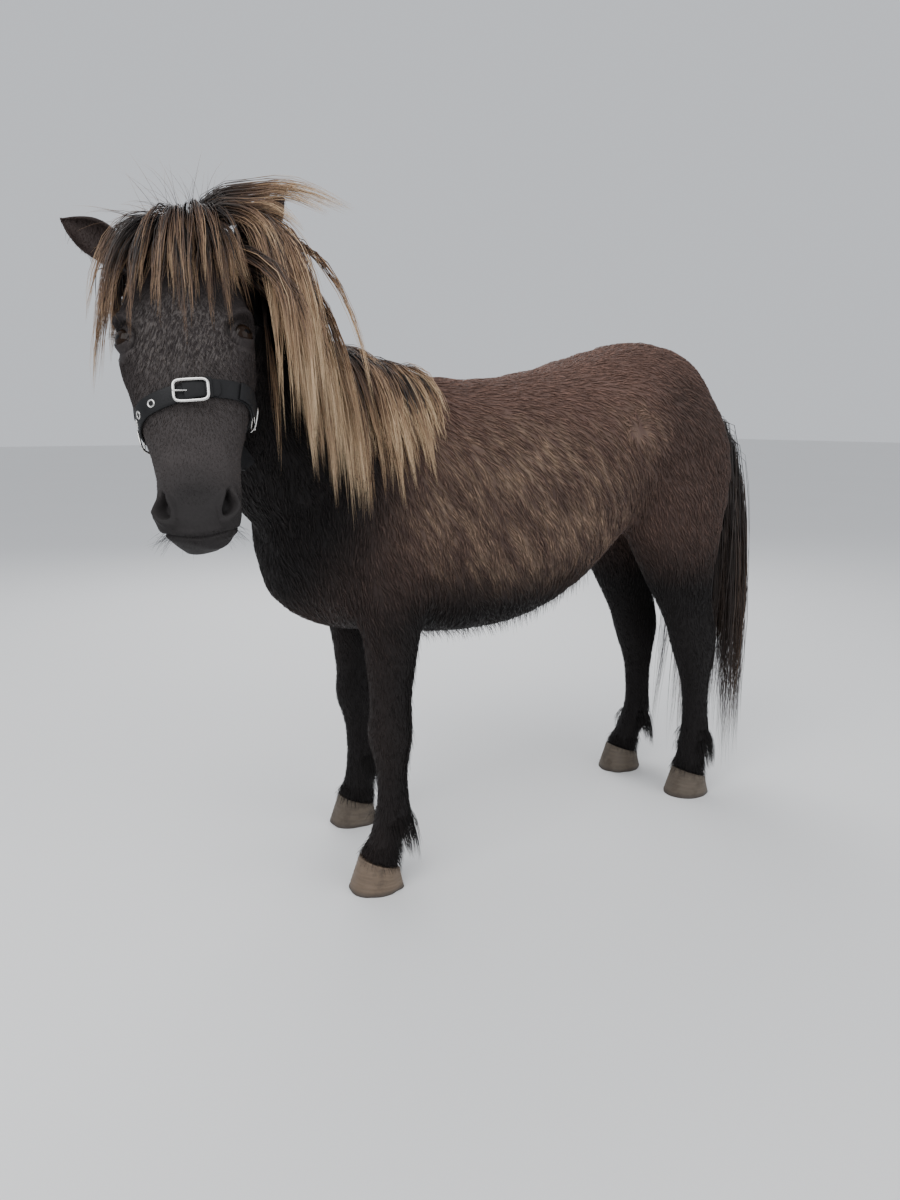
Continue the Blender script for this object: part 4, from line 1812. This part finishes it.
def buildHeadcollar(hide, leather, steel):
    up = headDirection((0, 0, 1))
    nose = noseCourse(hide)
    width, thick, lift = headcollar["strapWidth"], headcollar["thickness"], headcollar["lift"]
    band = [layStrap("noseband_strap", nose, width, closed=True)]
    for name, start, end, count, share, raised, taper in headcollar["ends"]:
        course = noseCourse(hide, start, end, count)
        band.append(layStrap(name, course, width * share, raised=thick * raised, taper=taper))
    dressed = [joined(band, "noseband_strap")]
    replaced = {"noseband_strap": ["noseband"]}
    for side, sign in (("left", 1), ("right", -1)):
        rows = smoothRows([mirrored(place, sign) for place in headcollar["cheek"]], 25)
        found = [hide.calm.find_nearest(headFrame @ Vector(row))[:2] for row in rows]
        dressed.append(layStrap(f"cheek_strap_{side}", found, width * 0.8))
        replaced[f"cheek_strap_{side}"] = [f"cheekpiece_{side}"]
    rows = smoothRows(headcollar["crown"], 49)
    found = [hide.calm.find_nearest(headFrame @ Vector(row))[:2] for row in rows]
    dressed.append(layStrap("crown_strap", found, width * 0.8))
    replaced["crown_strap"] = ["crownpiece"]
    for piece in dressed:
        finishPiece(piece, leather, replaced[piece.name], smooth=False)
        onlySelect(piece)
        bpy.ops.object.shade_smooth_by_angle(angle=math.radians(40))
    halfWidth, halfHeight, wire = headcollar["buckle"]
    place, out = pointOn(nose, 0)
    left = up.cross(out).normalized()
    middle = place + out * (lift + thick * 2 + wire * 0.9) + left * 0.005
    frameRing = bentWire("buckle", middle, out, up, halfWidth, halfHeight, wire, 5)
    hinge = middle - left * halfWidth
    tongue = straightPin(hinge - left * wire * 0.6 + out * wire * 0.7,
                         hinge + left * 0.017 - out * wire * 0.9, wire * 0.62)
    metal = [(joined([frameRing, tongue], "buckle"), ["noseband_buckle"])]
    halfWidth, halfHeight, wire = headcollar["sideRing"]
    for side, turn in (("left", 0.27), ("right", 0.73)):
        place, out = pointOn(nose, turn)
        middle = place + out * (lift + thick * 2 + wire)
        ring = bentWire(f"cheek_ring_{side}", middle, out, up, halfWidth, halfHeight, wire, 4)
        bar = straightPin(middle - up * halfHeight, middle + up * halfHeight, wire * 0.7)
        metal.append((joined([ring, bar], f"cheek_ring_{side}"), [f"side_ring_{side}"]))
    radius, wire = headcollar["eyelet"]
    for number, station in enumerate(headcollar["eyelets"]):
        place, out = pointOn(nose, station / 24)
        middle = place + out * (lift + thick + wire * 0.3)
        metal.append((bentWire(f"nickel_hole_{number + 1}", middle, out, up, radius, radius, wire, 2),
                      [f"eyelet_{number + 1}"]))
    for piece, nodes in metal:
        finishPiece(piece, steel, nodes)
    print("headcollar fitted")


buildStudio()
skin = buildSkin()
hide = Hide(skin)
print("hide ready")
buildCoat(hide, tuftMaterial())
buildHair(hide, maneMaterial(), tailMaterial(), tuftMaterial())
finishPiece(skin, skinMaterial(), [
    "head", "neck", "torso", "foreleg_left", "foreleg_right", "hindleg_left", "hindleg_right", "ear_left",
    "ear_right"])
buildEyes()
buildHooves()
buildHeadcollar(hide, leatherMaterial(), steelMaterial())
